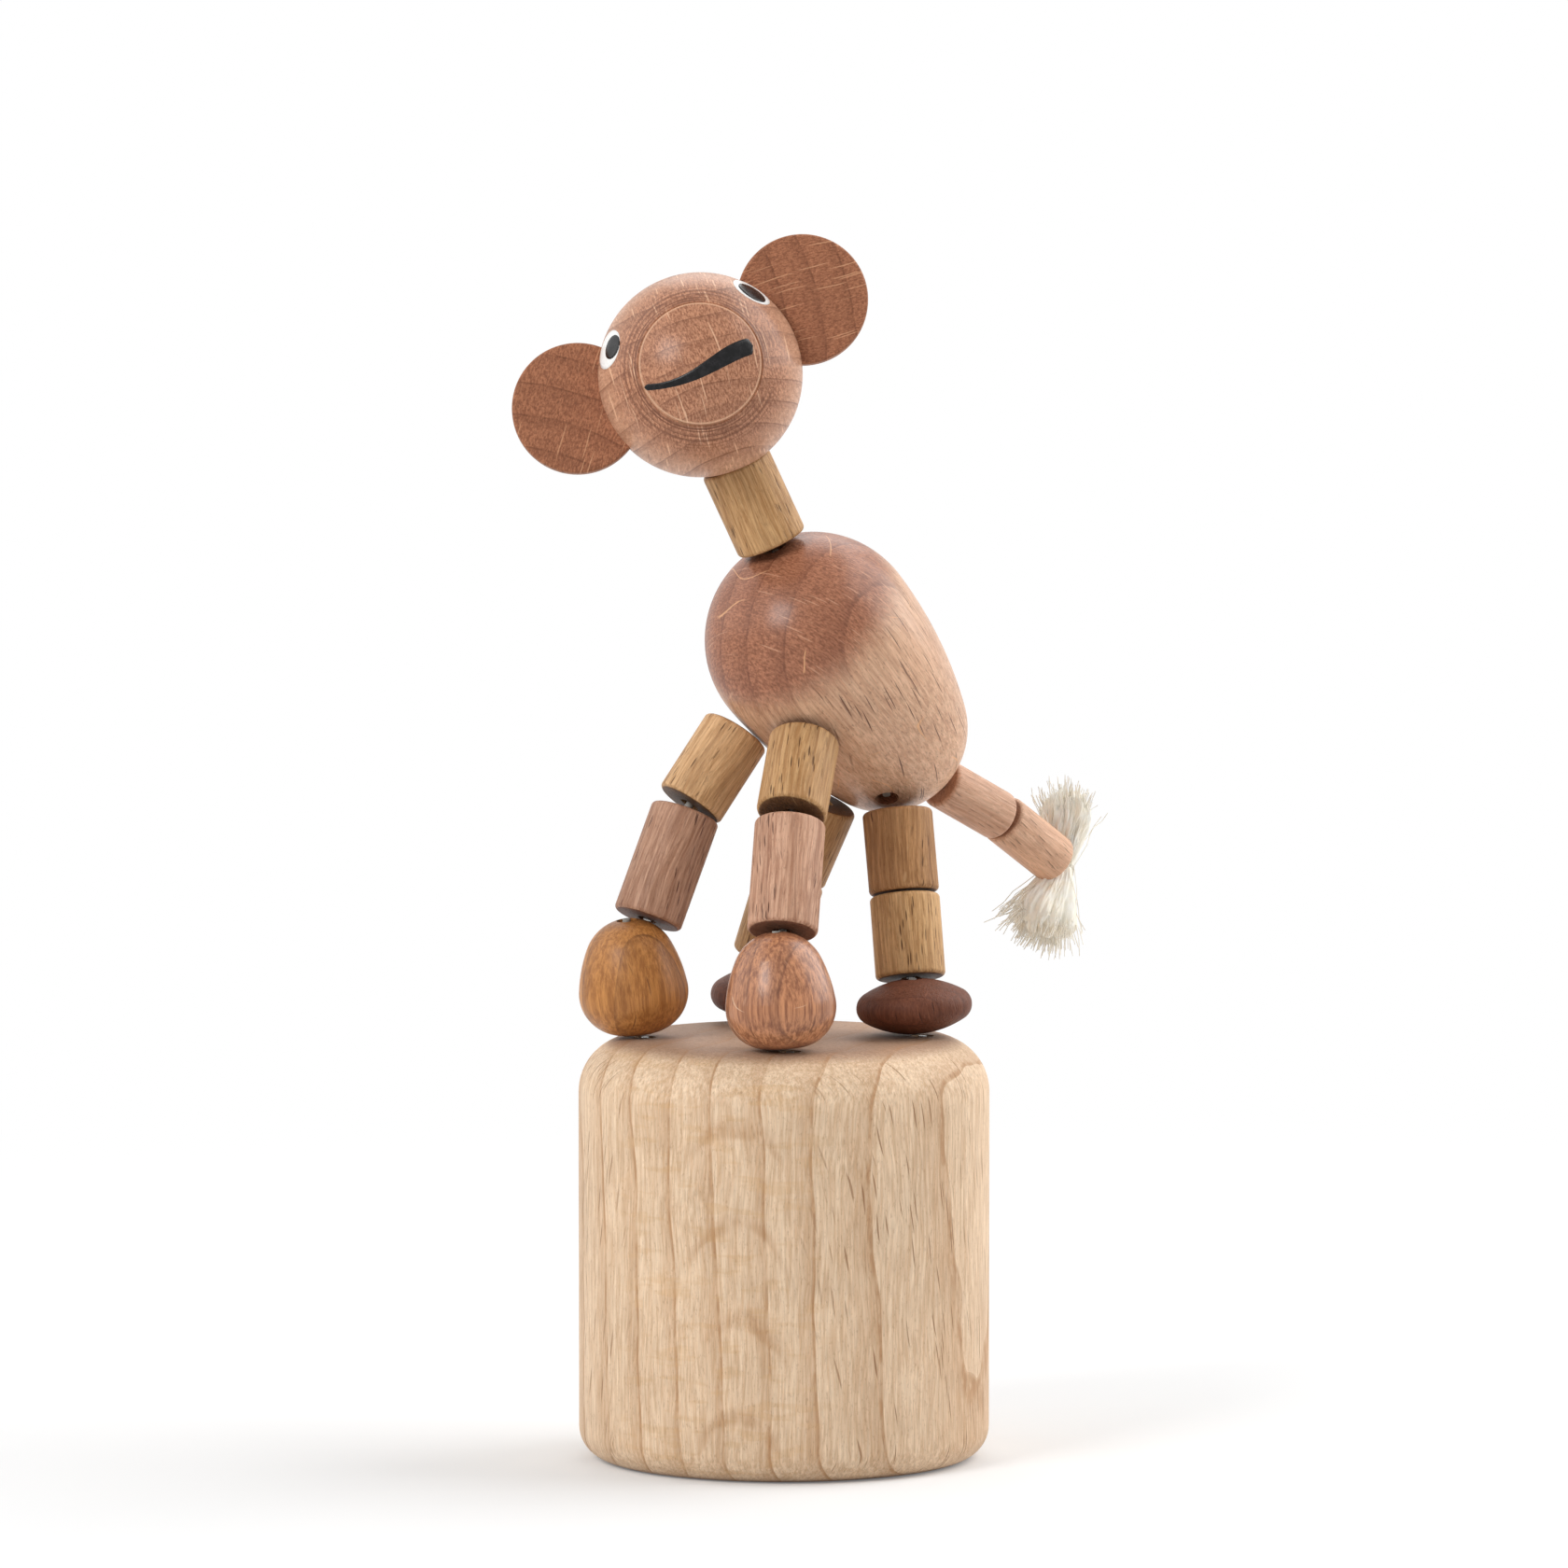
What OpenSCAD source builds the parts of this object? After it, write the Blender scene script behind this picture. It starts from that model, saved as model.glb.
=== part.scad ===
// Push puppet: a beaded wooden monkey strung on nylon line over a sprung push button.
// Millimetres. The origin is the centre of the base's foot, +Z is up and the monkey faces -Y.

/* [Base] */
// Diameter of the turned base
base_d = 45; // [42:0.5:55]
// Height of the base
base_h = 46.3; // [42:0.1:60]
// Rounding of the upper edge
base_top_round = 6; // [2:0.25:7]
// Rounding of the lower edge
base_foot_round = 3.5; // [1:0.25:4]
// Diameter of the bore that the push button slides in
bore_d = 34; // [32.5:0.5:35]
// Chamfer at the mouth of the bore
bore_chamfer = 0.6; // [0.2:0.1:1]
// Wood left between the bore and the top
ceiling_t = 12; // [8:0.5:16]
// Side of the square on which the four strings leave the base
string_square = 21.5; // [19:0.25:22]
// Diameter of the string holes in the base and the button
string_hole_d = 2.4; // [1.8:0.1:2.8]

/* [Push button] */
// Thickness of the button
button_t = 8; // [7:0.5:11]
// Play between the button and its bore, all round
button_play = 0.4; // [0.2:0.05:0.8]
// Depth of the button's face inside the base at rest
button_recess = 6; // [5:0.25:8]
// Rounding of the button's lower edge
button_round = 1.5; // [0.5:0.25:2.5]
// Side of the square on which the strings pass through the button
button_square = 19; // [16:0.25:20]
// Diameter of the pockets that hide the knots
knot_pocket_d = 4.4; // [3.8:0.1:5]
// Depth of the pockets that hide the knots
knot_pocket_h = 4; // [3.5:0.25:5]
// Height of the spigot that centres the spring
spigot_h = 4; // [2:0.5:6]

/* [Return spring] */
// Diameter of the spring wire
spring_wire = 0.9; // [0.6:0.1:1.2]
// Mean diameter of the coil
spring_d = 15; // [12:0.5:17]
// Number of turns
spring_turns = 6; // [4:1:8]
// Play between the coil and its spigot, all round
spring_play = 0.4; // [0.2:0.1:0.8]

/* [Strings] */
// Diameter of the nylon line
string_d = 0.9; // [0.6:0.1:1.2]
// Diameter of the knots under the button
knot_d = 2.9; // [2.6:0.1:3.4]
// Diameter of the drilled hole through each bead
bead_bore_d = 2.2; // [1.6:0.1:2.6]
// Diameter of the drilled holes in the body
body_bore_d = 2.6; // [1.8:0.1:3]
// Diameter of the knots where strings meet in the body
meeting_knot_d = 2.6; // [2.4:0.1:2.8]
// Diameter of the hollows where the drilled holes meet in the body
meeting_hollow_d = 3.6; // [3.2:0.1:4.5]
// How much wider each hole of a meeting is than the one before it
hole_step = 0.1; // [0.05:0.05:0.2]
// Gap between the ends of two string lengths at a joint
string_gap = 0.12; // [0.1:0.01:0.2]
// Depth of the string ends below the surface of the body
string_inset = 0.5; // [0.4:0.05:0.8]

/* [Limb beads] */
// Diameter of the dowel beads in the arms and legs
bead_d = 7.7; // [6.5:0.1:8.2]
// Rounding of the dowel beads' edges
bead_edge = 0.5; // [0.2:0.05:0.8]
// Length of an upper arm
upper_arm_len = 9.8; // [8:0.1:12]
// Length of a forearm
forearm_len = 12.7; // [10:0.1:15]
// Length of an upper leg
upper_leg_len = 9.2; // [7.5:0.1:11]
// Length of a lower leg
lower_leg_len = 9.2; // [7.5:0.1:11]
// Gap between two beads that rest on each other
bead_gap = 0.2; // [0.15:0.01:0.3]

/* [Hands and feet] */
// Diameter of a hand
hand_d = 12; // [10:0.1:13]
// Height of a hand
hand_h = 12.7; // [11:0.1:15]
// Radius of a hand's top
hand_top_r = 5.1; // [3.8:0.1:5.4]
// Rounding of a hand's lower edge
hand_foot_r = 4.5; // [3:0.1:5.2]
// Radius of a hand's flank, seen from the side
hand_flank_r = 16; // [12:1:30]
// Diameter of a foot
foot_d = 12.7; // [10.5:0.1:14]
// Height of a foot
foot_h = 6.1; // [5:0.1:7]
// Radius of a foot's rim
foot_rim_r = 1.8; // [1.2:0.1:2.2]

/* [Body] */
// Radius of the body at the chest
chest_r = 11.9; // [11:0.1:13]
// Radius of the body at the rump
rump_r = 9.3; // [8.5:0.1:10]
// Distance between the chest centre and the rump centre
body_span = 15.2; // [13:0.1:18]
// Radius of the body's flank, seen from the side
flank_r = 60; // [45:1:90]
// Distance of the rump centre behind the tops of the legs
rump_behind = 4.5; // [4:0.1:8]
// Distance of the rump centre to the right of the middle of the legs
rump_right = 0.6; // [-2:0.1:2]
// Turn of the body towards the monkey's right
body_yaw = 2; // [-10:0.5:12]
// Distance of the hip holes ahead of the legs' axes
hip_hole_lead = 1.6; // [0:0.1:2]

/* [Neck and head] */
// Diameter of the neck
neck_d = 7.9; // [6.5:0.1:8.5]
// Length of the neck
neck_len = 9.8; // [8:0.1:12]
// Diameter of the head
head_d = 22.3; // [20:0.1:25]
// Diameter of the turned ring round the muzzle
muzzle_d = 13.2; // [11:0.1:14]
// How far the muzzle stands forward
muzzle_lift = 0.4; // [0.2:0.05:0.8]
// Width of the groove round the muzzle
muzzle_groove = 0.5; // [0.3:0.05:0.7]
// Diameter of an ear
ear_d = 14.3; // [12:0.1:16]
// Thickness of an ear
ear_t = 1.8; // [1.2:0.1:2.4]
// Rounding of an ear's edge
ear_edge = 0.35; // [0.1:0.05:0.5]
// Distance of the ear centres from the middle of the head
ear_out = 13.6; // [12.5:0.1:15]
// Height of the ear centres above the middle of the head
ear_up = 2.5; // [0:0.1:4]
// Play of an ear in its slot
ear_play = 0.06; // [0.03:0.01:0.1]
// Depth of the string hole in the head, from its middle
head_hole_past = 3; // [0:0.5:5]
// Depth of the flat seat cut into the head for the neck
head_seat_depth = 0.75; // [0.3:0.05:1]
// Play of the neck in its seat, all round
head_seat_play = 0.4; // [0.3:0.05:0.6]

/* [Tail] */
// Diameter of the tail beads
tail_d = 5.6; // [4.5:0.1:6.5]
// Length of a tail bead
tail_len = 9.8; // [8:0.1:12]
// Length of each half of the tuft
tuft_len = 10; // [7:0.1:12]
// Diameter of the tuft at its frayed ends
tuft_d = 6.6; // [5:0.1:8]
// Diameter of the tuft where it is tied
tuft_waist_d = 2.4; // [2:0.1:3]

/* [Pose of the arms: lean inwards, lean back] */
// Left hand
left_hand_lean = [5, 0]; // [-45:1:45]
// Left forearm
left_forearm_lean = [15, 22]; // [-45:1:45]
// Left upper arm
left_upper_arm_lean = [21, 35]; // [-45:1:45]
// Right hand
right_hand_lean = [0, -8]; // [-45:1:45]
// Right forearm
right_forearm_lean = [4, 25]; // [-45:1:45]
// Right upper arm
right_upper_arm_lean = [14, 35]; // [-45:1:45]

// Offset of the left hand from its hole, within the play of the string
left_hand_slip = [-0.8, -0.7]; // [-1:0.1:1]
// Offset of the right hand from its hole, within the play of the string
right_hand_slip = [-1, -0.9]; // [-1:0.1:1]
// Share of its lean by which the left forearm slides round the hand
left_wrist_slide = 1; // [0:0.05:1]
// Share of its lean by which the right forearm slides round the hand
right_wrist_slide = 1; // [0:0.05:1]

/* [Pose of the legs: lean inwards, lean back] */
// Left foot
left_foot_lean = [3, -2]; // [-45:1:45]
// Left lower leg
left_lower_leg_lean = [13, 8]; // [-45:1:45]
// Left upper leg
left_upper_leg_lean = [13, 7]; // [-45:1:45]
// Right foot
right_foot_lean = [-1, -2]; // [-45:1:45]
// Right lower leg
right_lower_leg_lean = [18, 5]; // [-45:1:45]
// Right upper leg
right_upper_leg_lean = [24, 8]; // [-45:1:45]

// Offset of the left foot from its hole, within the play of the string
left_foot_slip = [-1, -1]; // [-1:0.1:1]
// Offset of the right foot from its hole, within the play of the string
right_foot_slip = [-1, -1]; // [-1:0.1:1]
// Share of its lean by which the left lower leg slides round the foot
left_ankle_slide = 1.2; // [0:0.05:1.5]
// Share of its lean by which the right lower leg slides round the foot
right_ankle_slide = 0; // [0:0.05:1.5]

/* [Pose of the neck, head and tail] */
// Where the neck stands on the chest: lean to the left, lean back
neck_seat_lean = [-4, -28]; // [-45:1:45]
// Lean of the neck: to the left, back
neck_lean = [-14, -22]; // [-45:1:45]
// Where the head sits on the neck: lean to the left, lean back
head_seat_lean = [-7, -24]; // [-45:1:45]
// Turn of the head to the monkey's left
head_turn = 43; // [-90:1:90]
// Upward nod of the head
head_nod = 10; // [-45:1:45]
// Roll of the head towards its right shoulder
head_roll = 26; // [-45:1:45]
// Where the tail starts on the rump: turn to the left, drop
tail_seat_aim = [15, 40]; // [-45:1:60]
// Tail root: turn to the left, drop
tail_root_aim = [7, 26]; // [-45:1:60]
// Tail tip: turn to the left, drop
tail_tip_aim = [4, 32]; // [-45:1:60]
// Upper half of the tuft: turn to the left, drop
tuft_upper_aim = [-30, -66]; // [-180:1:180]
// Lower half of the tuft: turn to the left, drop
tuft_lower_aim = [185, 62]; // [-180:1:190]

/* [Hidden] */
$fn = 64;

// Colours
beech = "burlywood";
tan_stain = "peru";
red_stain = "rosybrown";
amber_stain = "goldenrod";
dark_stain = "saddlebrown";
nylon = "gainsboro";
cotton = "ivory";
steel = "silver";

// Heights inside the base
ceiling_z = base_h - ceiling_t;
button_top_z = button_recess + button_t;
spring_seat_gap = 0.1;
over = 1;
string_half = string_square / 2;
button_half = button_square / 2;
corners = [[1, 1], [-1, 1], [-1, -1], [1, -1]];

// Vectors
function unit(v) = v / norm(v);
function lean_dir(side, lean) = unit([-side * tan(lean[0]), tan(lean[1]), 1]);
function aim_dir(aim) = [sin(aim[0]) * cos(aim[1]), cos(aim[0]) * cos(aim[1]), -sin(aim[1])];
function angle_between(a, b) = acos(max(-1, min(1, a * b)));

// Hand: a flat sole with a rounded edge, and a domed top joined to it by a tangent flank
hand_sole_r = hand_d / 2 - hand_foot_r;
hand_hold_z = 0.43 * hand_h;

// Foot: a lens whose faces run tangent into its rim
foot_rim_out = foot_d / 2 - foot_rim_r;
foot_half = foot_h / 2;
foot_face_r = (pow(foot_rim_out, 2) + pow(foot_half, 2) - pow(foot_rim_r, 2)) / (2 * (foot_half - foot_rim_r));

// A bead is written as [centre of its lower end, direction of its axis, length]
function top_of(bead) = bead[0] + bead[2] * bead[1];
function hand_bead(side, lean, slip) =
  let (
    d = lean_dir(side, lean),
    tilt = angle_between(d, [0, 0, 1]),
    sole_z = base_h + bead_gap + hand_foot_r * (1 - cos(tilt)) + hand_sole_r * sin(tilt)
  )
  [
    [
      side * string_half + slip.x - hand_hold_z * d.x,
      -string_half + slip.y - hand_hold_z * d.y,
      sole_z
    ],
    d,
    hand_h
  ];
function foot_bead(side, lean, slip) =
  let (
    d = lean_dir(side, lean),
    centre = [side * string_half + slip.x, string_half + slip.y, base_h + bead_gap + foot_face_r]
  )
  [centre - foot_face_r * d, d, foot_h];

// Lower end of a bead that rests on a domed bead, and on another dowel bead
function on_dome(bead, dome_r, d, slide) =
  let (seat = unit((1 - slide) * bead[1] + slide * d))
  top_of(bead) - dome_r * bead[1] + (dome_r + bead_gap) / (seat * d) * seat;
function on_rim(bead, r, d) =
  top_of(bead) + (2 * (r - bead_edge) * sin(angle_between(bead[1], d) / 2) + bead_gap) * unit(bead[1] + d);

function limb(first, dome_r, side, slide, lower_lean, lower_len, upper_lean, upper_len) =
  let (
    lower_d = lean_dir(side, lower_lean),
    lower = [on_dome(first, dome_r, lower_d, slide), lower_d, lower_len],
    upper_d = lean_dir(side, upper_lean)
  )
  [first, lower, [on_rim(lower, bead_d / 2, upper_d), upper_d, upper_len]];
function arm(side, slip, slide, hand_lean, forearm_lean, upper_lean) =
  limb(hand_bead(side, hand_lean, slip), hand_top_r, side, slide, forearm_lean, forearm_len, upper_lean, upper_arm_len);
function leg(side, slip, slide, foot_lean, lower_lean, upper_lean) =
  limb(foot_bead(side, foot_lean, slip), foot_face_r, side, slide, lower_lean, lower_leg_len, upper_lean, upper_leg_len);

left_arm = arm(1, left_hand_slip, left_wrist_slide, left_hand_lean, left_forearm_lean, left_upper_arm_lean);
right_arm = arm(-1, right_hand_slip, right_wrist_slide, right_hand_lean, right_forearm_lean, right_upper_arm_lean);
left_leg = leg(1, left_foot_slip, left_ankle_slide, left_foot_lean, left_lower_leg_lean, left_upper_leg_lean);
right_leg = leg(-1, right_foot_slip, right_ankle_slide, right_foot_lean, right_lower_leg_lean, right_upper_leg_lean);

// Centre of the flank arc that runs tangent into two spheres on an axis, as [out, along]
function flank_centre(low_r, top_r, span, arc_r) =
  let (along = (pow(arc_r - low_r, 2) - pow(arc_r - top_r, 2) + pow(span, 2)) / (2 * span))
  [-sqrt(pow(arc_r - low_r, 2) - pow(along, 2)), along];
body_flank = flank_centre(rump_r, chest_r, body_span, flank_r);

// Distance of a point from the body's surface, for a rump centre and a body axis
function body_clear(p, rump, axis) =
  let (
    v = p - rump,
    along = v * axis,
    out = norm(v - along * axis),
    slope = (along - body_flank[1]) / (out - body_flank[0])
  )
  slope < body_flank[1] / body_flank[0] ? norm([out, along]) - rump_r
  : slope > (body_span - body_flank[1]) / -body_flank[0] ? norm([out, along - body_span]) - chest_r
  : norm([out - body_flank[0], along - body_flank[1]]) - flank_r;

// Least distance between a bead's rounded upper end and the body
rim_steps = 24;
function end_clear(bead, rump, axis) =
  let (
    d = bead[1],
    e = unit(cross(d, [0, 1, 0])),
    f = cross(d, e),
    flat_r = bead_d / 2 - bead_edge
  )
  min([
    for (k = [0 : rim_steps - 1])
      let (
        way = cos(360 * k / rim_steps) * e + sin(360 * k / rim_steps) * f,
        round_centre = top_of(bead) - bead_edge * d + flat_r * way
      )
      min(
        body_clear(round_centre, rump, axis) - bead_edge,
        body_clear(top_of(bead) + flat_r / 2 * way, rump, axis)
      )
  ]);
function ends_clear(beads, rump, axis) = min([for (b = beads) end_clear(b, rump, axis)]);

// The body lies on the tops of its four limbs: its height follows the legs, its pitch the arms
hip_middle = (top_of(left_leg[2]) + top_of(right_leg[2])) / 2;
rump_over = [hip_middle.x - rump_right, hip_middle.y + rump_behind];
function body_axis_at(pitch) = [-sin(body_yaw) * cos(pitch), -cos(body_yaw) * cos(pitch), sin(pitch)];
search_steps = 14;
function rump_z_at(pitch, low, high, left) =
  let (mid = (low + high) / 2)
  left == 0 ? mid
  : ends_clear([left_leg[2], right_leg[2]], [rump_over.x, rump_over.y, mid], body_axis_at(pitch)) < bead_gap
    ? rump_z_at(pitch, mid, high, left - 1)
    : rump_z_at(pitch, low, mid, left - 1);
function rump_at(pitch) =
  [rump_over.x, rump_over.y, rump_z_at(pitch, hip_middle.z, hip_middle.z + 2 * rump_r, search_steps)];
function body_pitch_at(low, high, left) =
  let (mid = (low + high) / 2)
  left == 0 ? mid
  : ends_clear([left_arm[2], right_arm[2]], rump_at(mid), body_axis_at(mid)) < bead_gap
    ? body_pitch_at(mid, high, left - 1)
    : body_pitch_at(low, mid, left - 1);
steepest_pitch = 80;
body_pitch = body_pitch_at(0, steepest_pitch, search_steps);
rump_c = rump_at(body_pitch);
body_axis = body_axis_at(body_pitch);
chest_c = rump_c + body_span * body_axis;

// Flat end of a bead seated on a ball: the end's centre lies along seat, its axis along d
function on_ball(centre, ball_r, seat, d) = centre + (ball_r + bead_gap) / (seat * d) * seat;
neck_dir = lean_dir(-1, neck_lean);
neck_bead = [on_ball(chest_c, chest_r, lean_dir(-1, neck_seat_lean), neck_dir), neck_dir, neck_len];
head_seat = lean_dir(-1, head_seat_lean);
head_c = on_ball(top_of(neck_bead), head_d / 2 - head_seat_depth, head_seat, neck_dir);
tail_root_dir = aim_dir(tail_root_aim);
tail_root_bead = [on_ball(rump_c, rump_r, aim_dir(tail_seat_aim), tail_root_dir), tail_root_dir, tail_len];
tail_tip_dir = aim_dir(tail_tip_aim);
tail_tip_bead = [on_rim(tail_root_bead, tail_d / 2, tail_tip_dir), tail_tip_dir, tail_len];

// Mouths of the string holes in the body
function hip_mouth(bead) = top_of(bead) - [0, hip_hole_lead, 0];
chest_mouths = [top_of(left_arm[2]), top_of(right_arm[2]), neck_bead[0]];
rump_mouths = [hip_mouth(left_leg[2]), hip_mouth(right_leg[2]), tail_root_bead[0]];

// Stands its children, drawn along +Z, at a point along a direction
module stand(p, d) {
  translate(p)
    rotate([0, acos(d.z), atan2(d.y, d.x)])
      children();
}

// Rod between two points
module rod(a, b, d) {
  stand(a, unit(b - a))
    cylinder(d = d, h = norm(b - a));
}

// Half outline of a disc or dowel with rounded edges
module rounded_half(r, h, low_round, top_round) {
  translate([0, low_round])
    square([r, h - low_round - top_round]);
  square([r - low_round, h - top_round]);
  translate([0, low_round])
    square([r - top_round, h - low_round]);
  translate([r - low_round, low_round])
    intersection() {
      circle(low_round);
      translate([0, -low_round])
        square(low_round);
    }
  translate([r - top_round, h - top_round])
    intersection() {
      circle(top_round);
      square(top_round);
    }
}

// Sector of a circle about o between the rays through two points, cut off at those points
module arc_sector(o, r, a, b) {
  intersection() {
    translate(o)
      circle(r, $fn = 256);
    polygon([a, o + 2 * r * (a - o) / norm(a - o), o + 2 * r * (b - o) / norm(b - o), b]);
  }
}

// Half outline of an egg: two circles on the axis, joined by tangent flanks
module egg_half(low_r, top_r, span, arc_r) {
  intersection() {
    union() {
      circle(low_r, $fn = 128);
      translate([0, span])
        circle(top_r, $fn = 128);
      arc_sector(flank_centre(low_r, top_r, span, arc_r), arc_r, [0, 0], [0, span]);
    }
    translate([0, -low_r])
      square([2 * max(low_r, top_r), low_r + span + top_r]);
  }
}

module base() {
  color(beech)
    difference() {
      rotate_extrude()
        difference() {
          rounded_half(base_d / 2, base_h, base_foot_round, base_top_round);
          translate([0, -over])
            square([bore_d / 2, ceiling_z + over]);
          polygon([
            [0, -over],
            [bore_d / 2 + bore_chamfer + over, -over],
            [bore_d / 2, bore_chamfer],
            [0, bore_chamfer]
          ]);
        }
      for (c = corners)
        translate([c.x * string_half, c.y * string_half, ceiling_z - over])
          cylinder(d = string_hole_d, h = ceiling_t + 2 * over);
    }
}

module push_button() {
  color(beech)
    difference() {
      union() {
        translate([0, 0, button_recess])
          rotate_extrude()
            rounded_half(bore_d / 2 - button_play, button_t, button_round, bead_edge);
        translate([0, 0, button_top_z - over])
          cylinder(d = 2 * (coil_in_r - spring_play), h = spigot_h + over);
      }
      for (c = corners)
        translate([c.x * button_half, c.y * button_half, button_recess - over]) {
          cylinder(d = string_hole_d, h = button_t + 2 * over);
          cylinder(d = knot_pocket_d, h = knot_pocket_h + over);
        }
    }
}

// Compression spring: one tube swept along a helix
rings_per_turn = 8;
wire_sides = 6;
spring_rings = rings_per_turn * spring_turns;
coil_in_r = spring_d / 2 * cos(180 / rings_per_turn) - spring_wire / 2;
spring_low = button_top_z + spring_seat_gap + spring_wire / 2;
spring_high = ceiling_z - spring_seat_gap - spring_wire / 2;
function coil_point(k) =
  let (turn = 360 * k / rings_per_turn)
  [
    spring_d / 2 * cos(turn),
    spring_d / 2 * sin(turn),
    spring_low + (spring_high - spring_low) * k / spring_rings
  ];
coil = [for (k = [0 : spring_rings]) coil_point(k)];
coil_gap = min([
  for (j = [0 : spring_rings], k = [j + rings_per_turn / 2 : 1 : spring_rings])
    norm(coil[j] - coil[k])
]) - spring_wire;
echo(spring_least_gap_to_itself = coil_gap);
function wire_ring(k) =
  let (
    turn = 360 * k / rings_per_turn,
    out = [cos(turn), sin(turn), 0],
    along = unit(coil_point(k + 1) - coil_point(k - 1)),
    rise = cross(out, along)
  )
  [
    for (s = [0 : wire_sides - 1])
      coil[k] + spring_wire / 2 * (cos(360 * s / wire_sides) * out + sin(360 * s / wire_sides) * rise)
  ];

module return_spring() {
  points = [for (k = [0 : spring_rings]) each wire_ring(k)];
  walls = [
    for (k = [0 : spring_rings - 1], s = [0 : wire_sides - 1])
      let (
        a = k * wire_sides + s,
        b = k * wire_sides + (s + 1) % wire_sides
      )
      each [[a, a + wire_sides, b], [b, a + wire_sides, b + wire_sides]]
  ];
  last = spring_rings * wire_sides;
  caps = [
    for (s = [1 : wire_sides - 2])
      each [[0, s, s + 1], [last, last + s + 1, last + s]]
  ];
  color(steel)
    polyhedron(points, concat(walls, caps));
}

// Knots that hold the strings under the button
knot_z = button_recess + knot_pocket_h - spring_seat_gap - knot_d / 2;
module string_knots() {
  color(nylon)
    for (c = corners)
      translate([c.x * button_half, c.y * button_half, knot_z]) {
        sphere(d = knot_d);
        translate([0, 0, -knot_d / 2 - string_d])
          cylinder(d = string_d, h = knot_d / 2 + string_d);
      }
}

// Strings between the knots and the top of the base
riser_low = knot_z + knot_d / 2 + string_gap;
module string_risers() {
  color(nylon)
    for (c = corners) {
      low = [c.x * button_half, c.y * button_half, riser_low];
      high = [c.x * string_half, c.y * string_half, base_h];
      rod(low, high, string_d);
    }
}

// Dowel bead with rounded edges and its string hole
module dowel(d, h) {
  difference() {
    rotate_extrude()
      rounded_half(d / 2, h, bead_edge, bead_edge);
    translate([0, 0, -over])
      cylinder(d = bead_bore_d, h = h + 2 * over);
  }
}

module limb_bead(bead) {
  stand(bead[0], bead[1])
    dowel(bead_d, bead[2]);
}

// Centre of the arc that runs tangent over two circles in a half outline, on the axis side
function cover_centre(a, a_r, b, b_r, arc_r) =
  let (
    way = unit(b - a),
    span = norm(b - a),
    along = (pow(arc_r - a_r, 2) - pow(arc_r - b_r, 2) + pow(span, 2)) / (2 * span),
    off = sqrt(pow(arc_r - a_r, 2) - pow(along, 2))
  )
  a + along * way + off * [-way.y, way.x];
module hand_half() {
  edge = [hand_sole_r, hand_foot_r];
  crown = [0, hand_h - hand_top_r];
  intersection() {
    union() {
      translate(edge)
        circle(hand_foot_r, $fn = 128);
      translate(crown)
        circle(hand_top_r, $fn = 128);
      arc_sector(cover_centre(edge, hand_foot_r, crown, hand_top_r, hand_flank_r), hand_flank_r, edge, crown);
      polygon([[0, 0], [hand_sole_r, 0], edge, crown]);
    }
    square([hand_d, hand_h]);
  }
}

module hand(bead) {
  stand(bead[0], bead[1])
    difference() {
      rotate_extrude()
        hand_half();
      translate([0, 0, -over])
        cylinder(d = bead_bore_d, h = hand_h + 2 * over);
    }
}

module foot(bead) {
  face_low = foot_half - foot_face_r;
  stand(bead[0], bead[1])
    difference() {
      translate([0, 0, foot_half])
        rotate_extrude()
          intersection() {
            union() {
              translate([foot_rim_out, 0])
                circle(foot_rim_r);
              for (way = [1, -1])
                arc_sector([0, way * face_low], foot_face_r, [0, 0], [foot_rim_out, 0]);
            }
            translate([0, -foot_half])
              square([foot_d / 2, foot_h]);
          }
      translate([0, 0, -over])
        cylinder(d = bead_bore_d, h = foot_h + 2 * over);
    }
}

module left_hand() { color(red_stain) hand(left_arm[0]); }
module left_forearm() { color(red_stain) limb_bead(left_arm[1]); }
module left_upper_arm() { color(tan_stain) limb_bead(left_arm[2]); }
module right_hand() { color(amber_stain) hand(right_arm[0]); }
module right_forearm() { color(red_stain) limb_bead(right_arm[1]); }
module right_upper_arm() { color(tan_stain) limb_bead(right_arm[2]); }
module left_foot() { color(dark_stain) foot(left_leg[0]); }
module left_lower_leg() { color(tan_stain) limb_bead(left_leg[1]); }
module left_upper_leg() { color(tan_stain) limb_bead(left_leg[2]); }
module right_foot() { color(dark_stain) foot(right_leg[0]); }
module right_lower_leg() { color(tan_stain) limb_bead(right_leg[1]); }
module right_upper_leg() { color(tan_stain) limb_bead(right_leg[2]); }

// Holes drilled from a mouth to the meeting point of the strings
module drill(mouths, meet, d) {
  for (i = [0:len(mouths) - 1])
    rod(mouths[i] + 2 * over * unit(mouths[i] - meet), meet, d + i * hole_step);
  translate(meet)
    sphere(d = meeting_hollow_d);
}

module body() {
  color(red_stain)
    difference() {
      stand(rump_c, body_axis)
        rotate_extrude()
          egg_half(rump_r, chest_r, body_span, flank_r);
      drill(chest_mouths, chest_c, body_bore_d);
      drill(rump_mouths, rump_c, body_bore_d);
    }
}

module neck() {
  color(tan_stain)
    stand(neck_bead[0], neck_bead[1])
      dowel(neck_d, neck_len);
}

// Head, drawn about its middle with the face towards -Y
module pose_head() {
  translate(head_c)
    rotate([-head_nod, 0, head_turn])
      rotate([0, -head_roll, 0])
        children();
}

module ear_disc(side, play) {
  translate([side * ear_out, ear_t / 2 + play, ear_up])
    rotate([90, 0, 0])
      rotate_extrude()
        rounded_half(ear_d / 2 + play, ear_t + 2 * play, ear_edge, ear_edge);
}

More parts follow.
